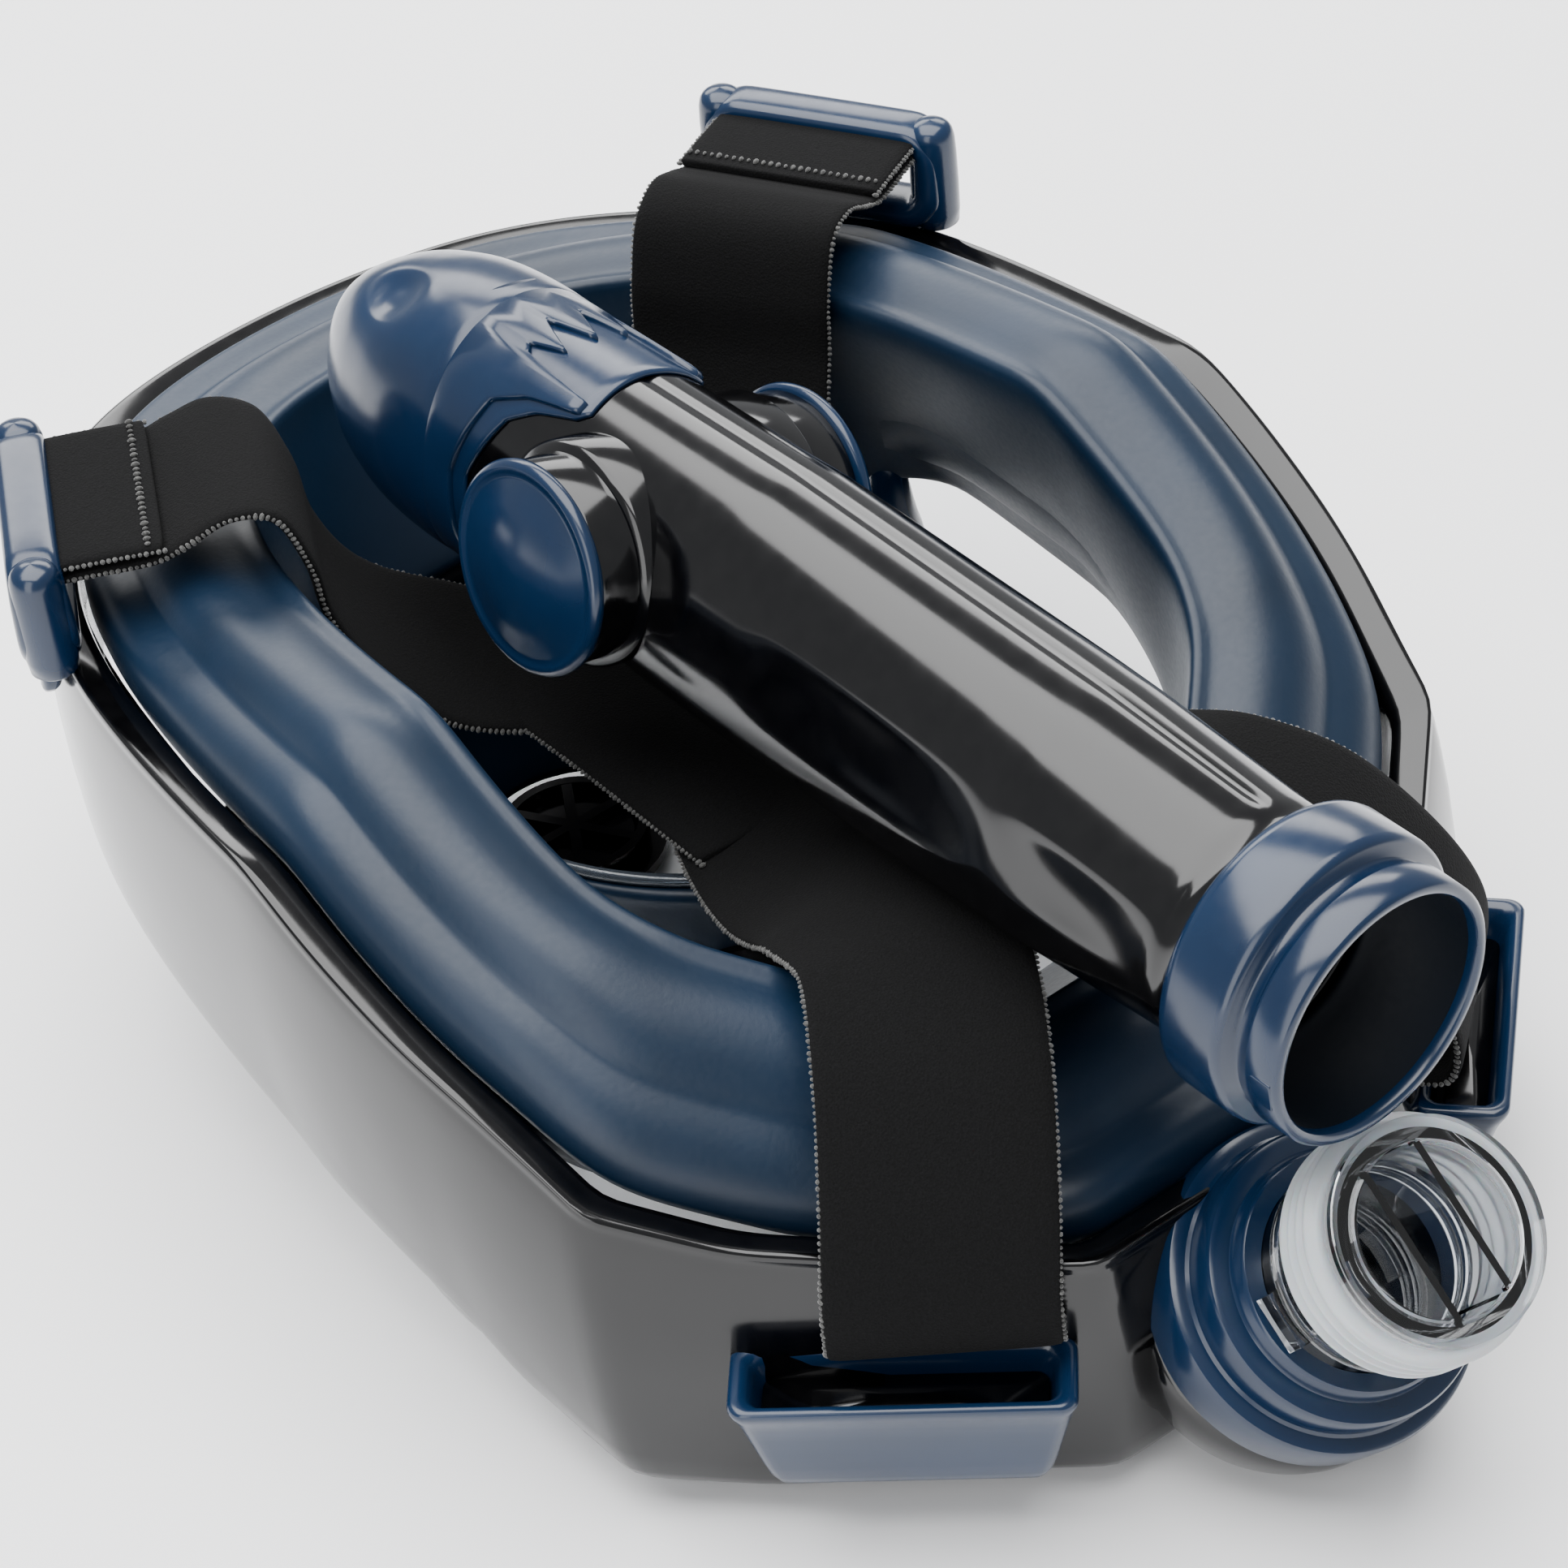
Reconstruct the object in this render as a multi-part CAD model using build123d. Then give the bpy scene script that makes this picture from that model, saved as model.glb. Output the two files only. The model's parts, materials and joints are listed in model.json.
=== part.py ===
from build123d import *
import math
import os

# Full face snorkel mask lying lens down, with its snorkel taken off and laid across it.
# Millimetres. +X is the wearer's left, +Y runs from chin to forehead, +Z points to the face side.
# The origin is on the floor plane, in the middle of the object's footprint.

# ---------------------------------------------------------------- driving sizes
plan_shift_y = -32.0        # moves the mask's own plan centre to the footprint's middle

# Frame and lens
frame_half_width = 98.0     # widest half width of the frame
frame_chin_y = -124.0       # chin end of the frame
frame_wide_y = 12.0         # where the frame is widest
shoulder_x = 88.0           # corner between side and forehead diagonal
shoulder_y = 86.0
brow_x = 31.0               # corner between forehead diagonal and the short brow edge
brow_y = 136.0
frame_wall = 2.6            # frame wall
lens_wall = 2.5             # lens wall
lens_gap = 0.05             # clearance between lens edge and frame
lens_lip = 6.0              # how far the lens edge stops under the rim
rim_sag_points = ((-128, 85), (-95, 89), (-47, 96), (20, 96), (66, 74), (100, 54), (122, 50), (150, 49))
band_low_points = ((-128, 60), (-95, 62), (-47, 66), (20, 64), (66, 38), (100, 12), (122, 8), (150, 8))
bowl_levels = (             # height above the lens's face, taper of chin and sides, taper of forehead
    (0, 0.5, 0.78), (5, 0.68, 0.9), (14, 0.82, 0.97), (30, 0.92, 0.99),
    (52, 0.975, 1.0), (80, 1.0, 1.0), (150, 1.0, 1.0),
)
rim_bead_width = 7.0        # ledge of the rim bead, inwards from the frame's outside
rim_bead_height = 2.2

# Skirt
skirt_gap = 0.3             # space between skirt and lens
skirt_wall_inset = 8.5      # from the frame's outside to the skirt's outside at the rim
crest_rise = 11.0           # crest of the skirt above the rim at the temples
skirt_lip_inset = 30.0      # from the frame's outside to the inner lip at the crest
window_inset = 24.0         # from the frame's outside to the skirt's inner wall at the lens
skirt_wall = 2.5
skirt_foot_depth = 6.0      # from the rim down to the top of the part seated on the lens

# Nose and mouth cup
cup_half_width = 40.0
cup_chin_y = -80.0
cup_nose_y = 44.0
cup_height = 52.0
cup_wall = 3.0

# Valves
drain_radius = 12.0
drain_y = -46.0
drain_wall = 1.8
drain_low = 0.3             # height of the seat's foot
drain_height = 8.0
drain_spoke = 2.0           # width and thickness of the spokes
drain_spoke_z = 7.2
flap_thick = 1.0
flap_gap = 0.4
inhale_radius = 9.0
inhale_angle = 62.0         # of the valves round the cup, from +X towards the forehead
inhale_seat_thick = 3.0

# Snorkel socket
socket_angle = 50.5         # above the +Y axis
socket_end_y = 175.0        # middle of the end ring
socket_end_z = 64.0
tube_r = 15.5               # clear connector tube, outside
tube_bore_r = 13.8
end_ring_r = 17.0
end_ring_thick = 3.0
seal_r = 19.0
seal_gap = 0.1
seal_start = 5.0            # from the end ring's face
seal_length = 10.0
seal_ribs = 3
base_r = 26.0
base_step_r = 23.0
base_back = 47.0            # from the end ring's face back to the base's foot
base_step = 37.0
base_front = 30.0
socket_divider_x = 5.0
socket_divider_wall = 1.2
housing_r = 24.5
housing_length = 30.0

# Strap parts
strap_width = 38.0
strap_thick = 1.8
strap_patch_width = 58.0
strap_patch_length = 64.0
clip_bar_length = 48.0
clip_height = 21.0
clip_depth = 10.0
clip_bar = 5.0
clip_x = 83.5
clip_y = -62.0
clip_foot_z = 96.0
clip_turn = -27.0           # plan angle of the clip's bar from +Y towards +X
guide_length = 52.0
guide_shift = 8.0           # from the diagonal's middle towards the brow
guide_depth = 12.0
guide_wall = 2.5
guide_top_z = 37.0
guide_bottom_z = 13.0
strap_low = 66.0            # middle of the strap where its arms cross

# Snorkel, in its own frame: +Y from the collar's mouth to the head, +Z to the parting line
snorkel_mouth = (0.5, 164.0, 98.0)
snorkel_head = (8.0, -76.0, 108.0)
snorkel_roll = 14.0         # the parting line leans to the wearer's right
collar_r = 21.3
collar_ring_r = 23.4
collar_bore_r = 19.3
collar_length = 22.0
collar_ring_start = 9.0
snorkel_tube_start = 19.0
snorkel_tube_end = 196.0
tube_half_width = 19.0
tube_half_height = 23.5
snorkel_wall = 2.0
pod_y = 158.0
pod_r = 17.0
pod_face = 27.0             # outside face of the pod's drum, from the tube's middle
disc_r = 17.6
disc_crown = 4.5
pod_wall = 2.0
float_r = 9.0
float_thick = 4.0
float_travel = 9.0
port_r = 7.0
cap_start = 196.0
cap_end = 241.0
cap_wall = 2.0
claw_start = 178.0
prong_start = 156.0
prong_half_width = 9.0
claw_wall = 1.6
divider_half_gap = 5.0
divider_wall = 1.2

fit_gap = 0.05              # play between pieces that push together
lift_gap = 0.5              # air between loose pieces at rest


# ---------------------------------------------------------------- helpers
def plan(point):
    """A point given on the mask's own plan, moved to the shared origin."""
    x, y, z = point
    return Vector(x, y + plan_shift_y, z)


def outline(inset, taper, brow_taper, z):
    """Closed outline of the mask at one height: oval chin and sides, three straight forehead edges."""
    half = (frame_half_width - inset) * taper
    chin = (frame_chin_y + inset) * (0.25 + 0.75 * taper)
    sx = (shoulder_x - 0.95 * inset) * brow_taper
    sy = (shoulder_y - 0.5 * inset) * brow_taper
    bx = (brow_x - 0.35 * inset) * brow_taper
    by = (brow_y - inset) * (0.4 + 0.6 * brow_taper)
    edges = []
    for side in (1, -1):
        edges.append(Spline(
            plan((0, chin, z)), plan((side * half * 0.7, chin * 0.74, z)),
            plan((side * half, frame_wide_y, z)), plan((side * sx, sy, z)),
            tangents=[(side, 0, 0), (-0.35 * side, 1, 0)],
        ))
        edges.append(Line(plan((side * sx, sy, z)), plan((side * bx, by, z))))
    edges.append(Line(plan((bx, by, z)), plan((-bx, by, z))))
    return make_face(edges)


def bowl(inset, floor_z):
    """The mask's outer form, moved inwards by inset, closed below at floor_z and straight above."""
    return loft([outline(inset, taper, brow_taper, floor_z + z) for z, taper, brow_taper in bowl_levels])


def under(points, rise=0.0):
    """Everything below a curve drawn on the side view, right across the mask."""
    curve = Spline([plan((0, y, z + rise)) for y, z in points])
    first = plan((0, points[0][0], -40))
    last = plan((0, points[-1][0], -40))
    edges = [curve, Line(curve @ 1, last), Line(last, first), Line(first, curve @ 0)]
    return extrude(make_face(edges), amount=150, dir=(1, 0, 0), both=True)


def rod(start, direction, radius, length):
    """A round bar from a point along a direction."""
    return Solid.make_cylinder(radius, length, Plane(origin=start, z_dir=direction))


def ring(start, direction, radius, bore, length):
    """A round tube from a point along a direction."""
    hole = rod(Vector(start) - Vector(direction) * 1, direction, bore, length + 2)
    return rod(start, direction, radius, length) - hole


def block(plane, size, centre=(0, 0, 0)):
    """A box placed in a plane's own axes."""
    return plane.location * Pos(*centre) * Box(*size)


# ---------------------------------------------------------------- shared frames and forms
socket_dir = Vector(0, math.cos(math.radians(socket_angle)), math.sin(math.radians(socket_angle)))
socket_end = plan((0, socket_end_y, socket_end_z))


def on_socket(back):
    """A point on the socket's axis, measured back from the end ring's face."""
    return socket_end - socket_dir * back


frame_form = bowl(0, -frame_wall)
clip_room = bowl(-fit_gap, -frame_wall)
lens_form = bowl(frame_wall + lens_gap, 0)
inner_form = bowl(frame_wall + lens_gap + lens_wall, lens_wall)
soft_form = bowl(frame_wall + lens_gap + lens_wall + skirt_gap, lens_wall + skirt_gap)
base_room = rod(on_socket(base_back), socket_dir, base_r + fit_gap, base_back)
air_way = rod(on_socket(base_back + housing_length + 14), socket_dir, tube_bore_r, 60)

diagonal_start = Vector(shoulder_x, shoulder_y, 0)
diagonal_end = Vector(brow_x, brow_y, 0)


def diagonal_plane(side):
    """Frame of one forehead diagonal: X along it, Y outwards, Z up."""
    along = (diagonal_end - diagonal_start).normalized()
    middle = plan((diagonal_start + diagonal_end) / 2 + along * guide_shift)
    if side > 0:
        return Plane(origin=middle, x_dir=(-along.X, -along.Y, 0), z_dir=(0, 0, 1))
    origin = Vector(-middle.X, middle.Y, 0)
    return Plane(origin=origin, x_dir=(-along.X, along.Y, 0), z_dir=(0, 0, 1))


def clip_plane(side):
    """Frame of one chin clip: X along its bar, Y inwards or outwards across it, Z up."""
    turn = math.radians(clip_turn)
    origin = plan((side * clip_x, clip_y, clip_foot_z))
    return Plane(origin=origin, x_dir=(side * -math.sin(turn), math.cos(turn), 0), z_dir=(0, 0, 1))


# ---------------------------------------------------------------- mask
lens_room = bowl(frame_wall, -lens_gap)
below_rim = under(rim_sag_points)


def make_frame():
    """Black frame: a band round the lens, a bead along the rim and the socket's housing."""
    blank = frame_form & below_rim
    band = blank - lens_room - under(band_low_points)
    bead = blank - bowl(rim_bead_width, 0) - under(rim_sag_points, -rim_bead_height)
    housing = rod(on_socket(base_back + housing_length), socket_dir, housing_r, housing_length)
    housing -= lens_room
    housing -= Pos(0, 0, -50 + 0.5) * Box(400, 600, 100)
    return band + bead + housing - base_room - air_way


def make_lens():
    """Clear lens: a bowl that stops inside the frame, with holes for the air way and the drain."""
    shell = (lens_form & under(rim_sag_points, -lens_lip)) - inner_form
    shell = shell - air_way - base_room
    return shell - rod(plan((0, drain_y, -5)), (0, 0, 1), drain_radius + drain_wall + fit_gap, 20)


crest_points = (
    (-128, 86), (-95, 91), (-47, 96 + crest_rise * 0.6), (20, 96 + crest_rise),
    (66, 74 + crest_rise), (100, 54 + crest_rise * 0.9), (122, 50 + crest_rise * 0.6), (150, 58),
)


def funnel(extra):
    """The skirt's face opening, wide at the crest and at the lens, moved outwards by extra."""
    low = outline(window_inset + 14 - extra, 1, 1, lens_wall - 4)
    middle = outline(window_inset - extra, 1, 1, 60)
    high = outline(skirt_lip_inset - extra, 1, 1, 104)
    top = outline(skirt_lip_inset - extra, 1, 1, 140)
    return loft([low, middle, high, top])


def make_skirt():
    """Silicone skirt: an outer wall in the frame, a crest, and an inner wall down to the lens."""
    rim_inside = under(rim_sag_points, -rim_bead_height - skirt_gap)
    low_part = soft_form & rim_inside
    high_part = bowl(skirt_wall_inset, 0) & under(crest_points)
    body = (low_part & under(rim_sag_points, -skirt_foot_depth)) + (high_part & soft_form)
    body -= funnel(0)
    hollow = bowl(skirt_wall_inset + skirt_wall, lens_wall + skirt_gap + skirt_wall)
    hollow = (hollow - funnel(skirt_wall)) & under(crest_points, -skirt_wall)
    body -= hollow
    body -= rod(on_socket(base_back + 2), socket_dir, base_r + skirt_gap + fit_gap, base_back)
    return body - air_way


cup_middle_y = (cup_chin_y + cup_nose_y) / 2
cup_half_length = (cup_nose_y - cup_chin_y) / 2


def cup_form(inset, low_z, high_z):
    """Oval cup form, a little wider at the face side."""
    sections = []
    for z, scale in ((low_z, 0.86), (high_z, 1.0)):
        oval = Ellipse(cup_half_width * scale - inset, cup_half_length * scale - inset)
        sections.append(Pos(0, cup_middle_y + plan_shift_y, z) * oval)
    return loft(sections)


def make_cup():
    """Soft nose and mouth cup that stands on the lens."""
    shell = cup_form(0, -2, cup_height) - cup_form(cup_wall, -4, cup_height + 2)
    shell &= bowl(frame_wall + lens_gap + lens_wall + fit_gap, lens_wall + fit_gap)
    for side in (1, -1):
        start, direction = inhale_place(side)
        shell -= rod(start - direction * 10, direction, inhale_radius + 2, 20)
    return shell


def inhale_place(side):
    """Middle of an inhale valve on the cup's wall, and the direction out of the cup."""
    angle = math.radians(inhale_angle)
    x = cup_half_width * 0.96 * math.cos(angle)
    y = cup_middle_y + cup_half_length * 0.96 * math.sin(angle)
    normal = Vector(side * math.cos(angle) / cup_half_width, math.sin(angle) / cup_half_length, 0)
    normal = normal.normalized()
    return plan((side * x, y, cup_height * 0.55)) - normal * cup_wall * 0.5, normal


def make_inhale_seat(side):
    """Round valve seat with a cross of bars."""
    start, direction = inhale_place(side)
    half = inhale_seat_thick / 2
    outside = inhale_radius + 2 - fit_gap
    seat = ring(start - direction * half, direction, outside, inhale_radius - 1.5, inhale_seat_thick)
    plane = Plane(origin=start, x_dir=(-direction.Y, direction.X, 0), z_dir=direction)
    for size in ((2 * inhale_radius - 1, 1.4, 1.6), (1.4, 2 * inhale_radius - 1, 1.6)):
        seat += block(plane, size)
    return seat


def make_inhale_flap(side):
    """Thin round flap on the inner face of its seat."""
    start, direction = inhale_place(side)
    back = inhale_seat_thick / 2 + flap_gap + flap_thick
    return rod(start - direction * back, direction, inhale_radius - 0.5, flap_thick)


def make_drain_seat():
    """Drain valve body in the lens, with a spoked plate above the membrane."""
    outside = drain_radius + drain_wall
    seat = ring(plan((0, drain_y, drain_low)), (0, 0, 1), outside, drain_radius, drain_height)
    flange = plan((0, drain_y, lens_wall + fit_gap))
    seat += ring(flange, (0, 0, 1), drain_radius + 5, drain_radius, 2)
    for turn in (0, 60, 120):
        spoke_dir = Vector(1, 0, 0).rotate(Axis.Z, turn)
        plane = Plane(origin=plan((0, drain_y, drain_spoke_z)), x_dir=spoke_dir, z_dir=(0, 0, 1))
        seat += block(plane, (2 * drain_radius + 1, drain_spoke, drain_spoke))
    return seat


def make_drain_flap():
    """Drain membrane under the spokes."""
    low = drain_spoke_z - drain_spoke / 2 - flap_gap - flap_thick
    return rod(plan((0, drain_y, low)), (0, 0, 1), drain_radius - 1, flap_thick)


def make_drain_cover():
    """Slotted cover flush with the lens."""
    cover = rod(plan((0, drain_y, 0.4)), (0, 0, 1), drain_radius - fit_gap, 1.2)
    for row in (-6, 0, 6):
        cover -= Pos(0, drain_y + plan_shift_y + row, 1) * Box(14, 3, 4)
    return cover


def make_guide(side):
    """Blue pocket on the forehead diagonal that the strap runs down into."""
    plane = diagonal_plane(side)
    depth = guide_depth + 8
    middle_y = (guide_depth - 8) / 2
    half = guide_length / 2
    outer = loft([
        plane.location * Pos(0, middle_y, guide_bottom_z) * Rectangle(guide_length - 10, depth - 4),
        plane.location * Pos(0, middle_y + 2, guide_top_z) * Rectangle(guide_length, depth),
    ])
    strap_room = strap_width + 1.5
    centre = (0, middle_y - guide_wall + 1, guide_top_z / 2 + 17)
    inner = block(plane, (strap_room, depth, guide_top_z), centre)
    body = outer - inner
    return body - clip_room


def make_clip(side):
    """Rectangular strap loop with a hook that grips the frame's outside."""
    plane = clip_plane(side)
    middle = clip_height / 2
    loop = block(plane, (clip_bar_length, clip_depth, clip_height), (0, 0, middle))
    opening = (strap_width + 1.5, clip_depth + 2, clip_height - 2 * clip_bar)
    loop -= block(plane, opening, (0, 0, middle))
    for face in (1, -1):
        relief = (strap_width + 1.5, clip_depth / 2, clip_bar)
        loop -= block(plane, relief, (0, face * clip_depth / 2, clip_height - clip_bar / 2 + 1.5))
    hook = block(plane, (clip_bar_length - 16, clip_depth, 16), (0, 0, -7))
    return loop + hook - clip_room


# ---------------------------------------------------------------- socket
def make_base():
    """Blue stepped base round the foot of the clear tube."""
    base = ring(on_socket(base_back), socket_dir, base_r, tube_r + fit_gap, base_back - base_step)
    base += ring(on_socket(base_step), socket_dir, base_step_r, tube_r + fit_gap, base_step - base_front)
    return base


def make_connector():
    """Clear tube with an end ring, two dividing walls and a locking lug."""
    tube = ring(on_socket(base_back), socket_dir, tube_r, tube_bore_r, base_back - 1)
    tube += ring(on_socket(end_ring_thick), socket_dir, end_ring_r, tube_bore_r - 0.5, end_ring_thick)
    inside = rod(on_socket(base_back), socket_dir, tube_bore_r + 0.2, base_back - 1)
    for side in (1, -1):
        plane = Plane(origin=on_socket(base_back / 2), x_dir=(1, 0, 0), z_dir=socket_dir)
        wall = block(plane, (socket_divider_wall, 2 * tube_r, base_back), (side * socket_divider_x, 0, 0))
        tube += wall & inside
    lug_plane = Plane(origin=on_socket(24), x_dir=(1, 0, 0), z_dir=socket_dir)
    tube += block(lug_plane, (3, 9, 4), (tube_r + 0.6, 0, 0))
    return tube


def make_seal():
    """Ribbed silicone seal round the tube behind the end ring."""
    start = seal_start + seal_length
    seal = ring(on_socket(start), socket_dir, seal_r - 1.2, tube_r + fit_gap, seal_length)
    pitch = seal_length / seal_ribs
    for rib in range(seal_ribs):
        back = start - pitch * (rib + 0.25)
        seal += ring(on_socket(back), socket_dir, seal_r - seal_gap, tube_r + 1, pitch * 0.45)
    return seal


# ---------------------------------------------------------------- strap
def ribbon(plane, points):
    """A flat strap that follows a line drawn on a vertical plane."""
    across = Plane(origin=plane.origin, x_dir=plane.y_dir, z_dir=plane.x_dir)
    line = FilletPolyline(*points, radius=strap_thick * 2)
    flat = trace(line, line_width=strap_thick)
    return extrude(across.location * flat, amount=strap_width / 2, both=True)


def make_strap_patch():
    """Middle of the head strap, where the four arms are sewn together."""
    middle = plan((0, 8, strap_low))
    return Pos(middle.X, middle.Y, middle.Z) * Box(strap_patch_width, strap_patch_length, strap_thick * 1.5)


def strap_side(side):
    """The half of the room on one side of the mask."""
    return Pos(side * 150, 0, 0) * Box(300, 600, 400)


def make_chin_arm(side):
    """Strap arm from the middle to a chin clip, round the clip's bar."""
    clip = clip_plane(side)
    inwards = 1 if side * clip.y_dir.X < 0 else -1
    bar_z = clip_height - clip_bar - lift_gap - strap_thick / 2
    lowest = strap_low - clip_foot_z
    points = ((-3, bar_z), (34, bar_z), (52, bar_z - 26), (72, lowest), (96, lowest))
    arm = ribbon(clip, [(inwards * y, z) for y, z in points])
    return (arm & strap_side(side)) - make_strap_patch()


def make_brow_arm(side):
    """Strap arm from the middle over the rim and down into a forehead guide."""
    rise = ((4, 20), (4, 56), (-8, 74), (-28, 80))
    fall = ((-50, strap_low + 4), (-70, strap_low), (-104, strap_low))
    arm = ribbon(diagonal_plane(side), rise + fall)
    return (arm & strap_side(side)) - make_strap_patch()


# ---------------------------------------------------------------- snorkel
mouth = plan(snorkel_mouth)
head_dir = (plan(snorkel_head) - mouth).normalized()
side_dir = head_dir.cross(Vector(0, 0, 1)).normalized()
tilted_side = side_dir.rotate(Axis((0, 0, 0), head_dir), snorkel_roll)
snorkel_place = Plane(origin=mouth, x_dir=tilted_side, z_dir=tilted_side.cross(head_dir))


def oval(y, half_width, half_height):
    """Cross section of the snorkel at one distance from the mouth."""
    plane = Plane(origin=(0, y, 0), x_dir=(1, 0, 0), z_dir=(0, 1, 0))
    return plane.location * Ellipse(half_width, half_height)


def tube_form(extra):
    """The snorkel tube's outer form, grown by extra: round at the collar, deeper towards the head."""
    neck = collar_bore_r - fit_gap
    sections = (
        (snorkel_tube_start, neck, neck),
        (snorkel_tube_start + 5, neck, neck),
        (60, tube_half_width + 0.6, tube_half_height - 2),
        (130, tube_half_width, tube_half_height),
        (snorkel_tube_end, tube_half_width - 1, tube_half_height - 1),
    )
    return loft([oval(y, a + extra, b + extra) for y, a, b in sections])


tube_outside = tube_form(0)
tube_inside = tube_form(-snorkel_wall)


def make_tube_half(side):
    """One half of the black tube, parted on its middle plane, with the pod's air port."""
    shell = tube_outside - tube_inside
    shell &= Pos(side * 100, 100, 0) * Box(200, 300, 200)
    return shell - rod((0, pod_y, 0), (side, 0, 0), port_r, 40)


def make_divider(side):
    """One of the two plates that part the air coming in from the air going out."""
    plate = Pos(side * divider_half_gap, (snorkel_tube_start + snorkel_tube_end) / 2, 0) * Box(
        divider_wall, snorkel_tube_end - snorkel_tube_start - 4, 80)
    return plate & tube_form(-snorkel_wall - fit_gap)


def make_collar():
    """Blue collar that pushes over the socket's seal."""
    collar = ring((0, 0, 0), (0, 1, 0), collar_r, collar_bore_r, collar_length)
    ring_length = collar_length - collar_ring_start
    collar += ring((0, collar_ring_start, 0), (0, 1, 0), collar_ring_r, collar_bore_r, ring_length)
    stop = snorkel_tube_start - fit_gap
    return collar + ring((0, stop - 2, 0), (0, 1, 0), collar_bore_r + 0.5, collar_bore_r - 4, 2)


def make_pod(side):
    """Black drum on the side of the tube that houses a float."""
    drum = ring((0, pod_y, 0), (side, 0, 0), pod_r, pod_r - pod_wall, pod_face)
    return drum - tube_form(fit_gap)


def make_disc(side):
    """Domed blue cap that closes a pod."""
    edge = 1.0
    plane = Plane(origin=(side * (pod_face + fit_gap), pod_y, 0), x_dir=(0, 1, 0), z_dir=(side, 0, 0))
    half_chord = disc_r * 0.5
    ball_r = (disc_r ** 2 + disc_crown ** 2) / (2 * disc_crown)
    half_rise = disc_crown - ball_r + math.sqrt(ball_r ** 2 - half_chord ** 2)
    profile = make_face([
        Line((0, 0, 0), (disc_r, 0, 0)),
        Line((disc_r, 0, 0), (disc_r, 0, edge)),
        ThreePointArc((disc_r, 0, edge), (half_chord, 0, edge + half_rise), (0, 0, edge + disc_crown)),
        Line((0, 0, edge + disc_crown), (0, 0, 0)),
    ])
    return plane.location * revolve(profile, Axis.Z)


def make_float(side):
    """Flat round float that slides in its pod and shuts the air port under water."""
    start = (side * (tube_half_width + lift_gap * 2), pod_y - float_travel / 2, 0)
    return rod(start, (side, 0, 0), float_r, float_thick)


def make_claw():
    """Blue collar over the tube's head end, with two prongs along the parting line."""
    cover = (tube_form(claw_wall) - tube_form(fit_gap)) & Pos(0, (prong_start + cap_start) / 2, 0) * Box(
        80, cap_start - prong_start, 80)
    free = claw_start - prong_start
    for side in (1, -1):
        trim = Pos(side * (prong_half_width + 40), prong_start + free / 2, 0) * Box(80, free, 100)
        cover -= trim
    cover -= Pos(0, prong_start + free / 2, -40) * Box(100, free, 80)
    notch = Pos(0, prong_start, tube_half_height) * Rot(0, 0, 45) * Box(8, 8, 20)
    return cover - notch


def make_head_cap():
    """Rounded blue hood that closes the snorkel's head."""
    start = cap_start + fit_gap
    length = cap_end - cap_start
    shares = ((0, 1.0), (0.35, 0.97), (0.7, 0.78), (0.9, 0.5), (1.0, 0.22))
    wide = tube_half_width - 1 + claw_wall
    tall = tube_half_height - 1 + claw_wall
    outside = loft([oval(start + share * length, wide * k, tall * k) for share, k in shares])
    inside = loft([
        oval(start - 1 + share * (length - cap_wall), wide * k - cap_wall, tall * k - cap_wall)
        for share, k in shares
    ])
    return outside - inside


# ---------------------------------------------------------------- write every piece
def pieces():
    """Every node's name and its solids, in place."""
    yield "frame", make_frame()
    yield "lens", make_lens()
    yield "skirt", make_skirt()
    yield "nose_cup", make_cup()
    yield "drain_seat", make_drain_seat()
    yield "drain_flap", make_drain_flap()
    yield "drain_cover", make_drain_cover()
    yield "socket_base", make_base()
    yield "connector_tube", make_connector()
    yield "connector_seal", make_seal()
    yield "strap_patch", make_strap_patch()
    for side, word in ((1, "left"), (-1, "right")):
        yield f"inhale_seat_{word}", make_inhale_seat(side)
        yield f"inhale_flap_{word}", make_inhale_flap(side)
        yield f"strap_guide_{word}", make_guide(side)
        yield f"strap_chin_arm_{word}", make_chin_arm(side)
        yield f"strap_brow_arm_{word}", make_brow_arm(side)
        yield f"chin_clip_{word}", make_clip(side)
    place = snorkel_place.location
    yield "snorkel_collar", place * make_collar()
    yield "snorkel_head_cap", place * make_head_cap()
    yield "snorkel_claw", place * make_claw()
    for side, word in ((-1, "left"), (1, "right")):
        yield f"snorkel_tube_{word}", place * make_tube_half(side)
        yield f"air_divider_{word}", place * make_divider(side)
        yield f"float_pod_{word}", place * make_pod(side)
        yield f"pod_disc_{word}", place * make_disc(side)
        yield f"float_{word}", place * make_float(side)


os.makedirs("parts", exist_ok=True)
for name, piece in pieces():
    export_step(piece, f"parts/{name}.step")
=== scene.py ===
import json
import math

import bmesh
import bpy
import numpy as np
from mathutils import Matrix, Vector


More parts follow.
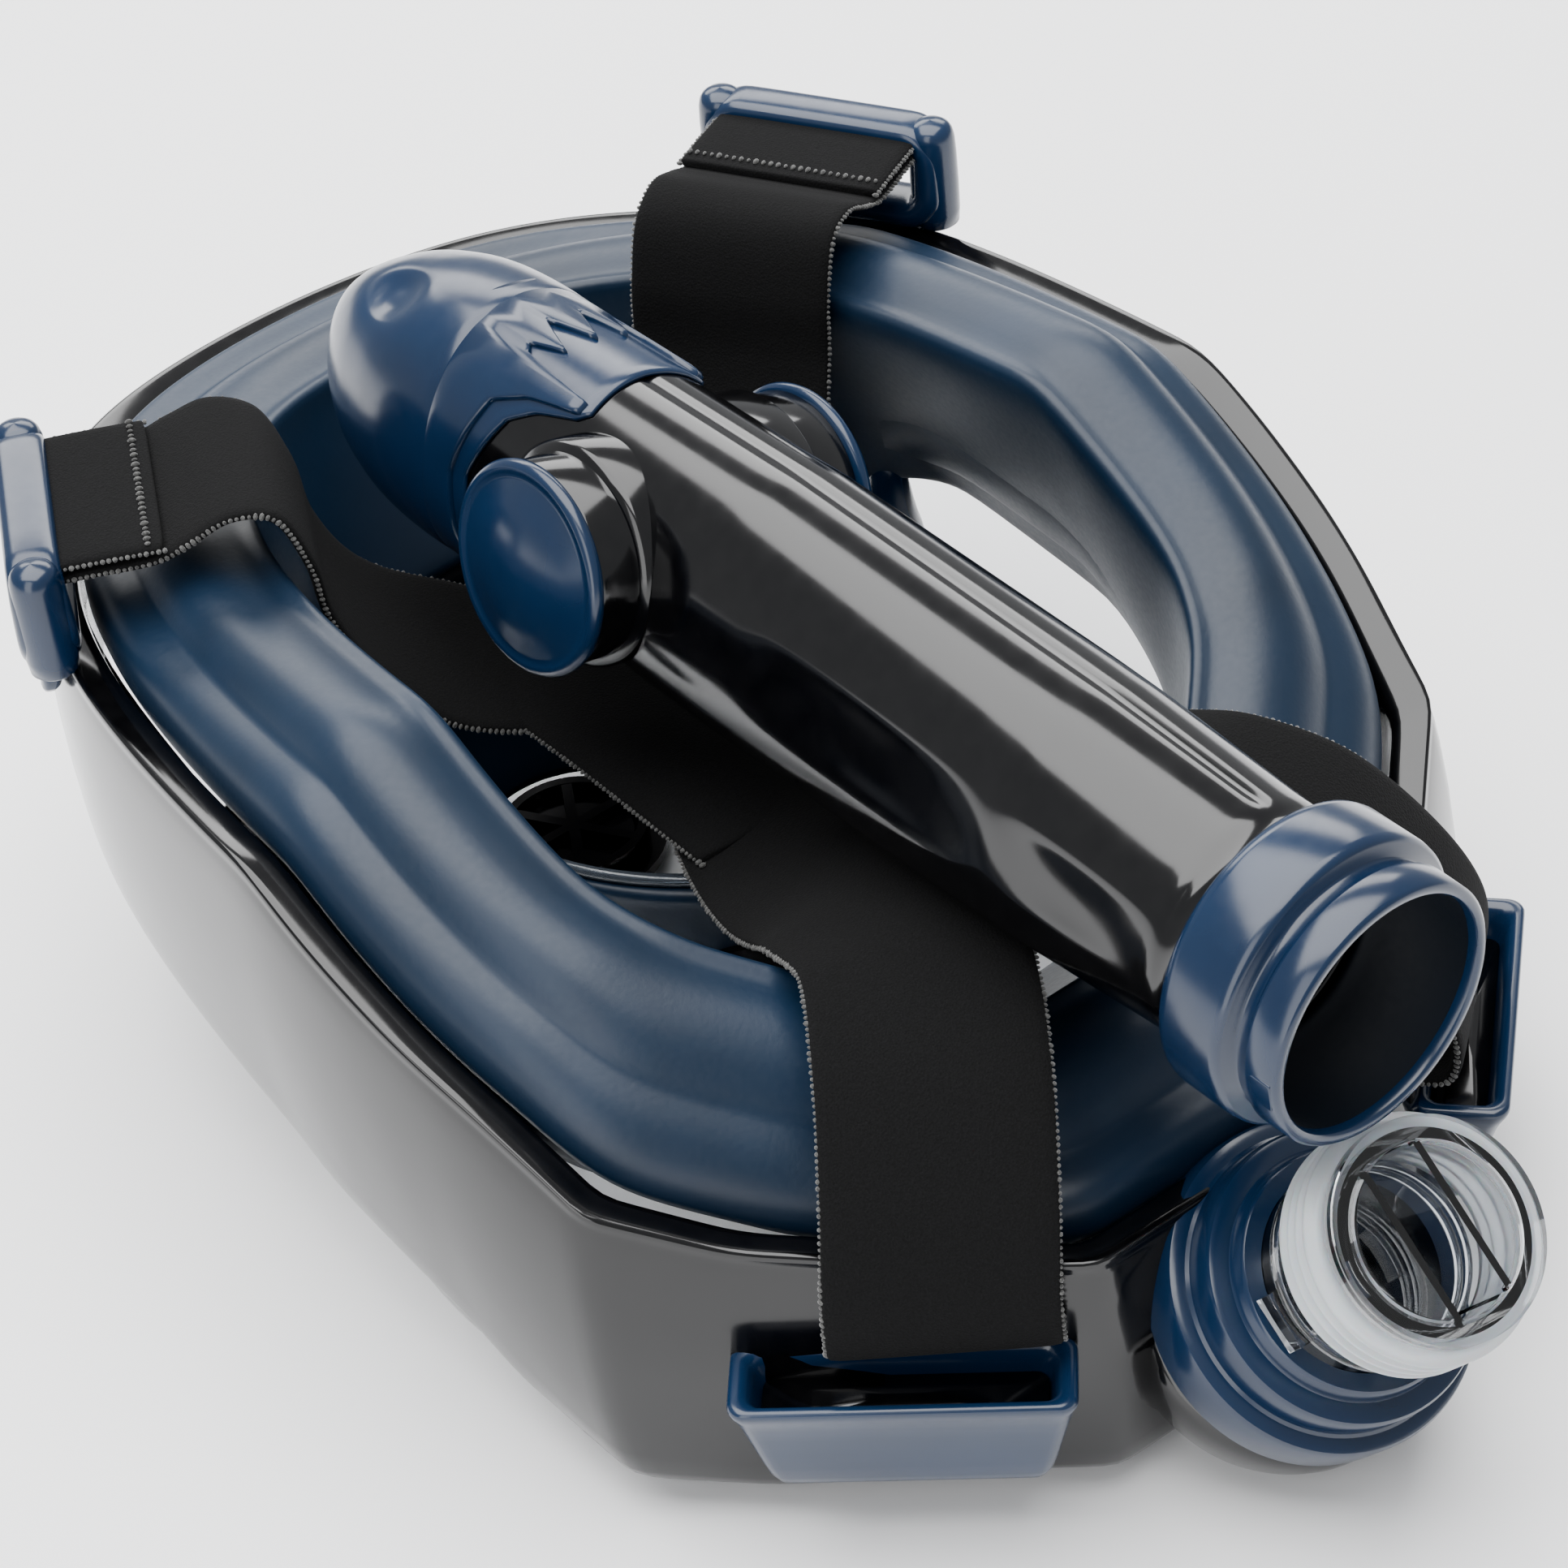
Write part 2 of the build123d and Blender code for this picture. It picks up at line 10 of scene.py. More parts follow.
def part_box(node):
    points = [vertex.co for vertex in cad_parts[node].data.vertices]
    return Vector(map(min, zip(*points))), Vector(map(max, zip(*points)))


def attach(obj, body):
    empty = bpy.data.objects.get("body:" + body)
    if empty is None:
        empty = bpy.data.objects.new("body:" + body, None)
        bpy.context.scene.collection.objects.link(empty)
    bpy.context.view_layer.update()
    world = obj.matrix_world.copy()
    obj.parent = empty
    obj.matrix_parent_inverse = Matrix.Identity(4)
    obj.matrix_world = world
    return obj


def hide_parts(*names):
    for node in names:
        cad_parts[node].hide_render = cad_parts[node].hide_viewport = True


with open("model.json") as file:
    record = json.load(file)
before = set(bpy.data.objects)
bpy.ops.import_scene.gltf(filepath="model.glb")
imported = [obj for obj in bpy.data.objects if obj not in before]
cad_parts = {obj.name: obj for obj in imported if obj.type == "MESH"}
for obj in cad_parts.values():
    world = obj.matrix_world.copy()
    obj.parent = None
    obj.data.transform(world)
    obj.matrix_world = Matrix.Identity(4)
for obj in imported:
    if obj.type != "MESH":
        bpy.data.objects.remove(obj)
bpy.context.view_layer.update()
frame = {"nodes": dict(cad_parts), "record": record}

MM = 0.001


# ------------------------------------------------------------ shared places, in millimetres
def node_box(name):
    """A CAD node's lowest and highest corners in millimetres."""
    low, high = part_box(name)
    return Vector(low) / MM, Vector(high) / MM


def node_middle(name):
    low, high = node_box(name)
    return (low + high) / 2


FRAME_CHIN_Y = -124.0
PLAN_Y = node_box("frame")[0].y - FRAME_CHIN_Y      # the mask's plan is moved by this much along Y
HALF_WIDTH = 98.0
WIDE_Y = 12.0
SHOULDER = (88.0, 86.0)
BROW = (31.0, 136.0)
RIM_Y = (-128, -95, -47, 20, 66, 100, 122, 150)
RIM_Z = (85, 89, 96, 96, 74, 54, 50, 49)
LOW_Z = (52, 50, 46, 30, 12, 6, 5, 5)
GUIDE_SHIFT = 8.0           # from the diagonal's middle towards the brow
CLIP_TURN = math.radians(-27)
CLIP_FOOT = (83.5, -62.0, 96.0)


def unit(vector):
    return Vector(vector).normalized()


MOUNTS = {mount["name"]: mount for mount in frame["record"]["mounts"]}
HEAD_DIR = -unit(MOUNTS["collar_bore"]["axis"])
MOUTH = Vector(MOUNTS["collar_bore"]["pos_m"]) / MM - HEAD_DIR * 8.5
SIDE_DIR = node_middle("pod_disc_right") - node_middle("pod_disc_left")
SIDE_DIR = unit(SIDE_DIR - HEAD_DIR * SIDE_DIR.dot(HEAD_DIR))
UP_DIR = SIDE_DIR.cross(HEAD_DIR)
POD_Y = ((node_middle("pod_disc_right") + node_middle("pod_disc_left")) / 2 - MOUTH).dot(HEAD_DIR)

SOCKET_ANGLE = math.radians(50.5)
SOCKET_DIR = Vector((0, math.cos(SOCKET_ANGLE), math.sin(SOCKET_ANGLE)))
SOCKET_END = Vector((0, 175 + PLAN_Y, 64))


def on_snorkel(x, y, z):
    """A point in the snorkel's own axes: across, along from the mouth, towards the parting line."""
    return MOUTH + SIDE_DIR * x + HEAD_DIR * y + UP_DIR * z


def rim_z(y_plan):
    return float(np.interp(y_plan, RIM_Y, RIM_Z))


# ------------------------------------------------------------ nodes and materials
def colour(hex_text):
    """sRGB hex to linear RGBA."""
    values = [int(hex_text[i:i + 2], 16) / 255 for i in (1, 3, 5)]
    return [v / 12.92 if v <= 0.04045 else ((v + 0.055) / 1.055) ** 2.4 for v in values] + [1.0]


def add(tree, kind, settings=None, **inputs):
    """Adds a node: settings are its properties, inputs are values or sockets to link."""
    node = tree.nodes.new(kind)
    for key, value in (settings or {}).items():
        setattr(node, key, value)
    for key, value in inputs.items():
        name = key.replace("_", " ")
        socket = node.inputs[int(key[1:])] if key[0] == "i" and key[1:].isdigit() else node.inputs[name]
        if isinstance(value, bpy.types.NodeSocket):
            tree.links.new(value, socket)
        else:
            socket.default_value = value
    return node


def new_material(name, base, roughness, **values):
    """A Principled material with its even values set on the shader's own sockets."""
    material = bpy.data.materials.new(name)
    material.use_nodes = True
    shader = material.node_tree.nodes["Principled BSDF"]
    shader.inputs["Base Color"].default_value = colour(base)
    shader.inputs["Roughness"].default_value = roughness
    for key, value in values.items():
        shader.inputs[key.replace("_", " ")].default_value = value
    return material, material.node_tree, shader


def surface_noise(tree, scale, detail=4.0):
    """Noise in the object's own metres, so its size is real."""
    place = add(tree, "ShaderNodeTexCoord")
    return add(tree, "ShaderNodeTexNoise", Vector=place.outputs["Object"], Scale=scale, Detail=detail)


def vary(tree, shader, noise, socket, low, high):
    """Lets noise move a colour or a number between two ends."""
    if isinstance(low, str):
        ramp = add(tree, "ShaderNodeValToRGB", Fac=noise.outputs[0])
        ramp.color_ramp.elements[0].position = 0.3
        ramp.color_ramp.elements[1].position = 0.7
        ramp.color_ramp.elements[0].color = colour(low)
        ramp.color_ramp.elements[1].color = colour(high)
        tree.links.new(ramp.outputs["Color"], shader.inputs[socket])
    else:
        spread = add(tree, "ShaderNodeMapRange", Value=noise.outputs[0], To_Min=low, To_Max=high)
        tree.links.new(spread.outputs["Result"], shader.inputs[socket])


def bump(tree, shader, height, strength, distance):
    node = add(tree, "ShaderNodeBump", Height=height, Strength=strength, Distance=distance)
    tree.links.new(node.outputs["Normal"], shader.inputs["Normal"])


def navy_silicone():
    # Liquid silicone rubber moulded against a fine blasted tool: satin, with soft broad highlights.
    material, tree, shader = new_material(
        "navy_silicone_rubber", "#06203A", 0.42, IOR=1.41, Sheen_Weight=0.03, Sheen_Roughness=0.45)
    shader.inputs["Sheen Tint"].default_value = colour("#7F9DC4")
    cloud = surface_noise(tree, 22)
    vary(tree, shader, cloud, "Base Color", "#041627", "#071E33")
    grain = surface_noise(tree, 900, 2)       # 1 mm mottling of the blasted tool
    vary(tree, shader, grain, "Roughness", 0.34, 0.47)
    bump(tree, shader, grain.outputs[0], 0.12, 0.0002)
    return material


def navy_plastic():
    # Polished injection moulded polycarbonate: deep navy under a clear gloss.
    material, tree, shader = new_material(
        "navy_moulded_gloss", "#06203A", 0.2, IOR=1.5)
    cloud = surface_noise(tree, 30)
    vary(tree, shader, cloud, "Base Color", "#051930", "#08213C")
    grain = surface_noise(tree, 450, 3)       # faint 2 mm orange peel and handling haze
    vary(tree, shader, grain, "Roughness", 0.16, 0.26)
    bump(tree, shader, grain.outputs[0], 0.03, 0.0002)
    return material


def bore_plastic_painted_shade():
    # The collar's bore as it left the mould's core: the same navy plastic, matte and unpolished, with its
    # colour darkened to near black as painted shade inside the bore.
    material, tree, shader = new_material(
        "navy_matte_bore_painted_shade", "#020811", 0.6, IOR=1.5, Specular_IOR_Level=0.2)
    grain = surface_noise(tree, 800, 3)
    vary(tree, shader, grain, "Roughness", 0.55, 0.7)
    bump(tree, shader, grain.outputs[0], 0.1, 0.0002)
    return material


def black_plastic():
    # Piano black ABS: mirror polish, with fine wiping marks that only show in the highlights.
    material, tree, shader = new_material(
        "black_polished_abs", "#030304", 0.1, IOR=1.5)
    haze = surface_noise(tree, 260, 5)        # 4 mm patches of fingerprint haze
    vary(tree, shader, haze, "Roughness", 0.08, 0.16)
    vary(tree, shader, haze, "Base Color", "#020203", "#060607")
    bump(tree, shader, haze.outputs[0], 0.015, 0.0002)
    return material


def webbing():
    # Brushed elastic webbing: black loops raised from a 1.2 mm knit, dull and slightly dusty.
    material, tree, shader = new_material(
        "black_brushed_webbing", "#040405", 0.95, Specular_IOR_Level=0.15, Sheen_Weight=0.04,
        Sheen_Roughness=0.6)
    shader.inputs["Sheen Tint"].default_value = colour("#5A5A5C")
    fuzz = surface_noise(tree, 3600, 5)       # loops under a millimetre
    vary(tree, shader, fuzz, "Base Color", "#020202", "#0B0B0C")
    place = add(tree, "ShaderNodeTexCoord")
    knit = add(tree, "ShaderNodeTexVoronoi", Vector=place.outputs["Object"], Scale=2400.0)
    mixed = add(tree, "ShaderNodeMath", {"operation": "ADD"}, i0=fuzz.outputs[0], i1=knit.outputs["Distance"])
    bump(tree, shader, mixed.outputs[0], 0.5, 0.0002)
    return material


def thread():
    # Polyester overlock thread, charcoal with paler tops.
    material, tree, shader = new_material("charcoal_overlock_thread", "#202020", 0.8, Sheen_Weight=0.3)
    fibre = surface_noise(tree, 2500, 3)
    vary(tree, shader, fibre, "Base Color", "#0E0E0E", "#4A4A48")
    bump(tree, shader, fibre.outputs[0], 0.3, 0.0002)
    return material


def clear_plastic():
    # Clear polycarbonate: glassy, with a breath of grey in its thickness.
    material, tree, shader = new_material(
        "clear_polycarbonate", "#F4F6F8", 0.02, IOR=1.586, Transmission_Weight=1.0)
    flow = surface_noise(tree, 120, 2)        # slow moulding flow marks, 8 mm across
    vary(tree, shader, flow, "Roughness", 0.01, 0.04)
    bump(tree, shader, flow.outputs[0], 0.03, 0.0003)
    return material


def lens_plastic():
    # Hard coated lens polycarbonate, thin enough to see the ground through without a tint.
    material, tree, shader = new_material(
        "clear_lens_polycarbonate", "#FAFBFC", 0.02, IOR=1.45, Transmission_Weight=1.0)
    flow = surface_noise(tree, 60, 2)
    vary(tree, shader, flow, "Roughness", 0.005, 0.03)
    return material


def clear_silicone():
    # Uncoloured silicone: milky white, light soaks through its ribs.
    material, tree, shader = new_material(
        "milky_silicone", "#E6ECF0", 0.3, IOR=1.41, Transmission_Weight=0.6,
        Subsurface_Weight=0.3, Subsurface_Scale=0.003)
    cloud = surface_noise(tree, 400, 3)
    vary(tree, shader, cloud, "Roughness", 0.25, 0.38)
    bump(tree, shader, cloud.outputs[0], 0.05, 0.0002)
    return material


def smoke_plastic():
    # Smoky translucent rim of the inner cup.
    material, tree, shader = new_material(
        "smoky_translucent_rim", "#6E7884", 0.12, IOR=1.5, Transmission_Weight=0.75)
    flow = surface_noise(tree, 150, 3)
    vary(tree, shader, flow, "Roughness", 0.08, 0.2)
    return material


def foam():
    # Closed cell float foam.
    material, tree, shader = new_material("white_float_foam", "#D8D6CE", 0.7)
    cell = surface_noise(tree, 1200, 3)
    vary(tree, shader, cell, "Base Color", "#C9C7BF", "#E2E0D9")
    bump(tree, shader, cell.outputs[0], 0.4, 0.0003)
    return material


SILICONE = navy_silicone()
NAVY = navy_plastic()
BORE_PAINTED_SHADE = bore_plastic_painted_shade()
BLACK = black_plastic()
WEBBING = webbing()
THREAD = thread()
CLEAR = clear_plastic()
LENS = lens_plastic()
MILKY = clear_silicone()
SMOKE = smoke_plastic()
FOAM = foam()


# ------------------------------------------------------------ mesh helpers
def piece(name, bm, material, body, replaces=(), levels=0, bevel=0.0):
    """Turns a bmesh in millimetres into a finished piece that rides on a body."""
    bmesh.ops.remove_doubles(bm, verts=bm.verts, dist=0.001)
    bmesh.ops.recalc_face_normals(bm, faces=bm.faces)
    bmesh.ops.scale(bm, vec=(MM, MM, MM), verts=bm.verts)
    mesh = bpy.data.meshes.new(name)
    bm.to_mesh(mesh)
    bm.free()
    mesh.materials.append(material)
    for polygon in mesh.polygons:
        polygon.use_smooth = True
    obj = bpy.data.objects.new(name, mesh)
    bpy.context.scene.collection.objects.link(obj)
    if bevel:
        cut = obj.modifiers.new("edges", "BEVEL")
        cut.width = bevel * MM
        cut.segments = 3
        cut.limit_method = "ANGLE"
        cut.angle_limit = math.radians(35)
    if levels:
        soft = obj.modifiers.new("smooth", "SUBSURF")
        soft.levels = levels
        soft.render_levels = levels
    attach(obj, body)
    if replaces:
        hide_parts(*replaces)
    return obj


def rings_to_mesh(bm, rings, close_ring=True, close_rows=False, caps=False):
    """Joins rows of points into quads. caps closes the first and last ring with a fan."""
    rows = [[bm.verts.new(point) for point in ring] for ring in rings]
    count = len(rows[0])
    last = count if close_ring else count - 1
    spans = len(rows) if close_rows else len(rows) - 1
    for r in range(spans):
        a = rows[r]
        b = rows[(r + 1) % len(rows)]
        for i in range(last):
            j = (i + 1) % count
            bm.faces.new((a[i], a[j], b[j], b[i]))
    if caps:
        for row in (rows[0], rows[-1]):
            middle = sum((vert.co for vert in row), Vector()) / count
            hub = bm.verts.new(middle)
            for i in range(count):
                bm.faces.new((row[i], row[(i + 1) % count], hub))
    return rows


def lathe(bm, origin, axis, profile, segments=72, closed=True):
    """Turns (radius, distance) pairs about an axis. A closed profile makes a ring with a wall."""
    axis = unit(axis)
    across = unit(axis.orthogonal())
    other = axis.cross(across)
    rings = []
    for radius, along in profile:
        ring = []
        for i in range(segments):
            angle = 2 * math.pi * i / segments
            out = across * math.cos(angle) + other * math.sin(angle)
            ring.append(Vector(origin) + axis * along + out * radius)
        rings.append(ring)
    rings_to_mesh(bm, rings, close_rows=closed)


def catmull(points, steps):
    """A smooth line through points, as a list of vectors."""
    points = [Vector(p) for p in points]
    padded = [points[0] * 2 - points[1]] + points + [points[-1] * 2 - points[-2]]
    line = []
    for i in range(1, len(padded) - 2):
        p0, p1, p2, p3 = padded[i - 1:i + 3]
        for s in range(steps):
            t = s / steps
            line.append(0.5 * (
                2 * p1 + (p2 - p0) * t + (2 * p0 - 5 * p1 + 4 * p2 - p3) * t ** 2
                + (3 * p1 - p0 - 3 * p2 + p3) * t ** 3))
    line.append(points[-1])
    return line


# ------------------------------------------------------------ the mask's plan
SIDE_STEPS = 44
DIAGONAL_STEPS = 16
BROW_STEPS = 8


def half_outline(inset):
    """Plan points from the chin to the middle of the brow on the +X side."""
    half = HALF_WIDTH - inset
    chin = FRAME_CHIN_Y + inset
    sx = SHOULDER[0] - 0.95 * inset
    sy = SHOULDER[1] - 0.5 * inset
    bx = BROW[0] - 0.35 * inset
    by = BROW[1] - inset
    knots = [(0, chin), (half * 0.42, chin * 0.935), (half * 0.72, chin * 0.72), (half * 0.925, chin * 0.36),
             (half, WIDE_Y), (half * 0.985, 50.0), (sx, sy)]
    knots = [Vector((x, y, 0)) for x, y in knots]
    steps = SIDE_STEPS // (len(knots) - 1) + 1
    start = Vector((-knots[1].x, knots[1].y, 0))
    path = catmull([start] + knots, steps)[steps:]
    for i in range(1, DIAGONAL_STEPS + 1):
        t = i / DIAGONAL_STEPS
        path.append(Vector((sx + (bx - sx) * t, sy + (by - sy) * t, 0)))
    for i in range(1, BROW_STEPS + 1):
        path.append(Vector((bx * (1 - i / BROW_STEPS), by, 0)))
    return path


def outline(inset, round_off=0):
    """Closed plan outline, as plan (x, y) vectors, with its corners eased round_off times."""
    right = half_outline(inset)
    left = [Vector((-p.x, p.y, 0)) for p in reversed(right[1:-1])]
    loop = right + left
    for _ in range(round_off):
        loop = [(loop[i - 1] + loop[i] * 2 + loop[(i + 1) % len(loop)]) / 4 for i in range(len(loop))]
    return loop


def placed(point, z):
    return Vector((point.x, point.y + PLAN_Y, z))


def brow_share(y_plan):
    """1 at the forehead edges, 0 by the temples."""
    return float(np.clip((y_plan - 55) / 45, 0, 1))


RISE_Y = (-128, -95, -47, 20, 66, 100, 122, 150)
RISE = (1, 2, 6.6, 11, 11, 9.9, 6.6, 8)
WINDOW_Y = -4.0
WINDOW_HALF_X = 76.0
WINDOW_HALF_Y = 62.0
LEVEL_Z = (0, 5, 14, 30, 52, 80, 150)
LEVEL_TAPER = (0.5, 0.68, 0.82, 0.92, 0.975, 1, 1)
LEVEL_BROW = (0.78, 0.9, 0.97, 0.99, 1, 1, 1)


def tapered(point, z):
    """Draws a plan point inwards as the frame and lens do below the rim."""
    side = float(np.interp(z, LEVEL_Z, LEVEL_TAPER))
    brow = float(np.interp(z, LEVEL_Z, LEVEL_BROW))
    share = float(np.clip((point.y - WIDE_Y) / (SHOULDER[1] - WIDE_Y), 0, 1))
    across = side + (brow - side) * share
    if point.y < WIDE_Y:
        along = 0.25 + 0.75 * side
    else:
        along = 1 + (0.4 + 0.6 * brow - 1) * float(np.clip((point.y - SHOULDER[1]) / 40, 0, 1))
    return Vector((point.x * across, point.y * along, 0))


# ------------------------------------------------------------ frame
def build_frame():
    """Glossy black band round the lens: a leaning wall, a thin raised rim line and an inner ledge."""
    ring = outline(0)
    inner = outline(2.6)
    ledge = outline(7.0)
    deep = outline(2.6)
    rows = [[] for _ in range(13)]
    for i, point in enumerate(ring):
        top = rim_z(point.y)
        low = float(np.interp(point.y, RIM_Y, LOW_Z))
        mid = (top + low) / 2
        brow = brow_share(point.y)
        out = (point - Vector((0, 20, 0))).normalized()
        flare = out * (3.6 + 4.8 * brow)
        wall = [(low, 1.0), (low + 1.5, 1.05), (low + 4, 1.0), (mid, 0.72), (top - 6, 0.15), (top - 2.6, 0.0)]
        line = 0
        for z, share in wall:
            rows[line].append(placed(tapered(point, z) + flare * share, z))
            line += 1
        rim = [(ring, top - 2.2, 0.35), (ring, top - 0.5, 0.45), (ring, top + 0.2, 0.0)]
        for path, z, grow in rim:
            rows[line].append(placed(tapered(path[i], z) + out * (grow - 0.5), z))
            line += 1
        rows[line].append(placed(tapered(inner[i], top), top - 0.4))
        rows[line + 1].append(placed(tapered(ledge[i], top), top - 1.4))
        rows[line + 2].append(placed(tapered(ledge[i], top), top - 4.0))
        rows[line + 3].append(placed(tapered(deep[i], low) + flare * 0.8, low + 0.8))
    bm = bmesh.new()
    rings_to_mesh(bm, rows, close_rows=True)
    piece("frame_band", bm, BLACK, "mask", replaces=["frame"], levels=1)

    bm = bmesh.new()
    lathe(bm, SOCKET_END, SOCKET_DIR, [
        (24.5, -47.2), (25.6, -49.0), (26.2, -53.0), (25.2, -58.0), (23.5, -62.0), (17.0, -64.0),
        (15.0, -60.0), (15.0, -48.0), (16.0, -47.2)])
    piece("frame_housing", bm, BLACK, "mask", levels=1)


# ------------------------------------------------------------ skirt
def window_point(point):
    """Place on the skirt's inner edge above the lens that lies opposite a point of the outline."""
    angle = math.atan2(point.y - WINDOW_Y, point.x)
    square = 0.5 + 0.5 * float(np.clip(-math.sin(angle) * 2, 0, 1))
    x = WINDOW_HALF_X * math.copysign(abs(math.cos(angle)) ** square, math.cos(angle))
    y = WINDOW_Y + WINDOW_HALF_Y * math.copysign(abs(math.sin(angle)) ** square, math.sin(angle))
    return Vector((x, y, 0)), float(np.interp(y, (-95, -20, 20, 44, 58), (60, 58, 54, 40, 24)))


def build_skirt():
    """Silicone skirt: band, crease, pillow crest, rolled inner lip and a wall down to the lens."""
    profile = [
        (7.4, -5.0, 0), (7.6, -1.0, 0), (7.9, 1.2, 0), (8.8, 2.2, 0.15), (10.8, 1.6, 0.42), (13.4, 0.6, 0.62),
        (15.4, 0.1, 0.7), (16.4, 0.1, 0.72), (17.8, 1.2, 0.86), (21.0, 2.6, 1.0), (25.5, 3.0, 1.03),
        (30.0, 2.0, 1.0), (33.2, 0.8, 0.95), (34.8, 0.6, 0.93), (36.4, 1.2, 0.92), (37.8, 0.4, 0.88),
        (38.0, -2.4, 0.8),
    ]
    rows = []
    for inset, height, rise in profile:
        row = []
        for point in outline(inset, round_off=4):
            top = rim_z(point.y) + float(np.interp(point.y, RISE_Y, RISE)) * rise
            row.append(placed(point, top + height))
        rows.append(row)
    lip = rows[-1]
    for share, drop in ((0.12, 0.16), (0.35, 0.42), (0.7, 0.74), (0.94, 0.94), (1.0, 1.0)):
        row = []
        for i, point in enumerate(outline(20.0)):
            edge, low = window_point(point)
            edge = placed(edge, low)
            row.append(Vector((
                lip[i].x + (edge.x - lip[i].x) * share, lip[i].y + (edge.y - lip[i].y) * share,
                lip[i].z + (edge.z - lip[i].z) * drop)))
        rows.append(row)
    edge_row = rows[-1]
    for grow, fall in ((1.008, 1.4), (1.03, 2.2), (1.06, 1.6)):
        rows.append([Vector((p.x * grow, (p.y - PLAN_Y - WINDOW_Y) * grow + WINDOW_Y + PLAN_Y, p.z - fall))
                     for p in edge_row])
    for share in (0.8, 0.35):
        row = []
        for i, point in enumerate(outline(30.0)):
            low = edge_row[i] * share + lip[i] * (1 - share)
            out = (placed(point, low.z) - low) * 0.25
            row.append(Vector((low.x + out.x, low.y + out.y, low.z - 2.5)))
        rows.append(row)
    for inset, height, rise in ((30.0, -2.5, 0.75), (22.0, -1.5, 0.8), (16.0, -4.0, 0.6), (10.0, -6.0, 0)):
        row = []
        for point in outline(inset, round_off=4):
            top = rim_z(point.y) + float(np.interp(point.y, RISE_Y, RISE)) * rise
            row.append(placed(point, top + height))
        rows.append(row)
    bm = bmesh.new()
    rings_to_mesh(bm, rows, close_rows=True)
    piece("skirt_soft", bm, SILICONE, "mask", replaces=["skirt"], levels=1)


# ------------------------------------------------------------ nose and mouth cup
def build_cup():
    """Soft cup with a rolled edge, a parting ridge and a smoky rim."""
    middle = Vector((0, -18 + PLAN_Y, 0))
    steps = 96

    def path(scale, inset, z, dip=0.0):
        points = []
        for i in range(steps):
            angle = 2 * math.pi * i / steps
            x = (40 * scale - inset) * math.cos(angle)
            y = (62 * scale - inset) * math.sin(angle)
            pinch = 1 - 0.22 * max(0.0, math.sin(angle)) ** 3
            height = z - dip * (math.cos(2 * angle) * 0.5 + 0.5)
            points.append(middle + Vector((x * pinch, y, height)))
        return points

    rows = [
        path(0.78, 0, 6.0), path(0.86, 0, 14.0), path(0.92, 0, 26.0, 1), path(0.955, 0, 33.5, 2),
        path(0.975, 0, 34.4, 2), path(0.965, 0, 35.4, 2), path(0.97, 0, 43.0, 3), path(0.99, 0, 50.0, 5),
        path(0.985, 0, 52.5, 6), path(0.95, 0, 53.4, 6), path(0.9, 0, 52.0, 6), path(0.86, 0, 48.0, 5),
        path(0.88, 0, 40.0, 3), path(0.84, 0, 24.0, 1), path(0.74, 0, 10.0), path(0.7, 0, 6.0),
    ]
    bm = bmesh.new()
    rings_to_mesh(bm, rows, close_rows=True)
    piece("cup_soft", bm, SILICONE, "mask", replaces=["nose_cup"], levels=1)

    bm = bmesh.new()
    rings_to_mesh(bm, [
        path(0.9, 0, 54.6, 6), path(0.93, 0, 55.4, 6), path(0.96, 0, 54.4, 6), path(0.95, 0, 53.0, 6),
        path(0.9, 0, 52.2, 6)], close_rows=True)
    piece("cup_smoky_rim", bm, SMOKE, "mask", levels=1)

    for side, word in ((1, "left"), (-1, "right")):
        bm = bmesh.new()
        lathe(bm, Vector((side * 70, -35 + PLAN_Y, 34)), (0, 0, 1), [
            (0.01, 0), (6.5, 0), (6.5, 10), (5.2, 13.0), (4.2, 20.0), (3.6, 24.5), (2.6, 26.0), (0.01, 26.4)],
            closed=False, segments=40)
        piece("cheek_post_" + word, bm, NAVY, "mask", levels=1)


# ------------------------------------------------------------ snorkel socket
def build_socket():
    """Stepped base and ribbed seal round the clear tube."""
    bm = bmesh.new()
    lathe(bm, SOCKET_END, SOCKET_DIR, [
        (15.6, -46.8), (25.2, -46.8), (25.9, -46.2), (26.0, -45.0), (26.0, -38.4), (25.6, -37.4),
        (24.8, -37.0), (23.4, -36.9), (22.9, -36.4), (22.8, -35.2), (22.8, -31.2), (22.4, -30.3),
        (21.6, -30.0), (19.4, -30.0), (19.0, -29.5), (18.8, -27.4), (18.3, -26.9),
        (15.6, -26.9)], segments=96)
    base = piece("socket_base_ring", bm, NAVY, "mask", replaces=["socket_base"])
    base.modifiers.new("sharp", "EDGE_SPLIT").split_angle = math.radians(40)

    profile = [(15.6, -15.0)]
    for rib in range(4):
        start = -14.8 + rib * 2.5
        profile += [(17.5, start), (17.7, start + 0.3), (18.7, start + 0.7), (18.85, start + 1.1),
                    (18.7, start + 1.5), (17.7, start + 1.9), (17.5, start + 2.2)]
    profile += [(15.6, -5.0)]
    bm = bmesh.new()
    lathe(bm, SOCKET_END, SOCKET_DIR, profile, segments=96)
    piece("seal_ribbed", bm, MILKY, "mask", replaces=["connector_seal"])

    for back, radius in ((22.5, 16.3), (19.0, 16.1)):
        bm = bmesh.new()
        lathe(bm, SOCKET_END, SOCKET_DIR, [
            (15.4, -back), (radius, -back), (radius + 0.2, -back + 0.6), (radius, -back + 1.2),
            (15.4, -back + 1.2)], segments=96)
        piece(f"tube_rib_{int(back)}", bm, CLEAR, "mask")


# ------------------------------------------------------------ clips and guides
def clip_axes(side):
    """A chin clip's foot, and the directions along its bar, across it and up."""
    origin = Vector((side * CLIP_FOOT[0], CLIP_FOOT[1] + PLAN_Y, CLIP_FOOT[2]))
    along = Vector((side * -math.sin(CLIP_TURN), math.cos(CLIP_TURN), 0))
    up = Vector((0, 0, 1))
    return origin, along, up.cross(along), up


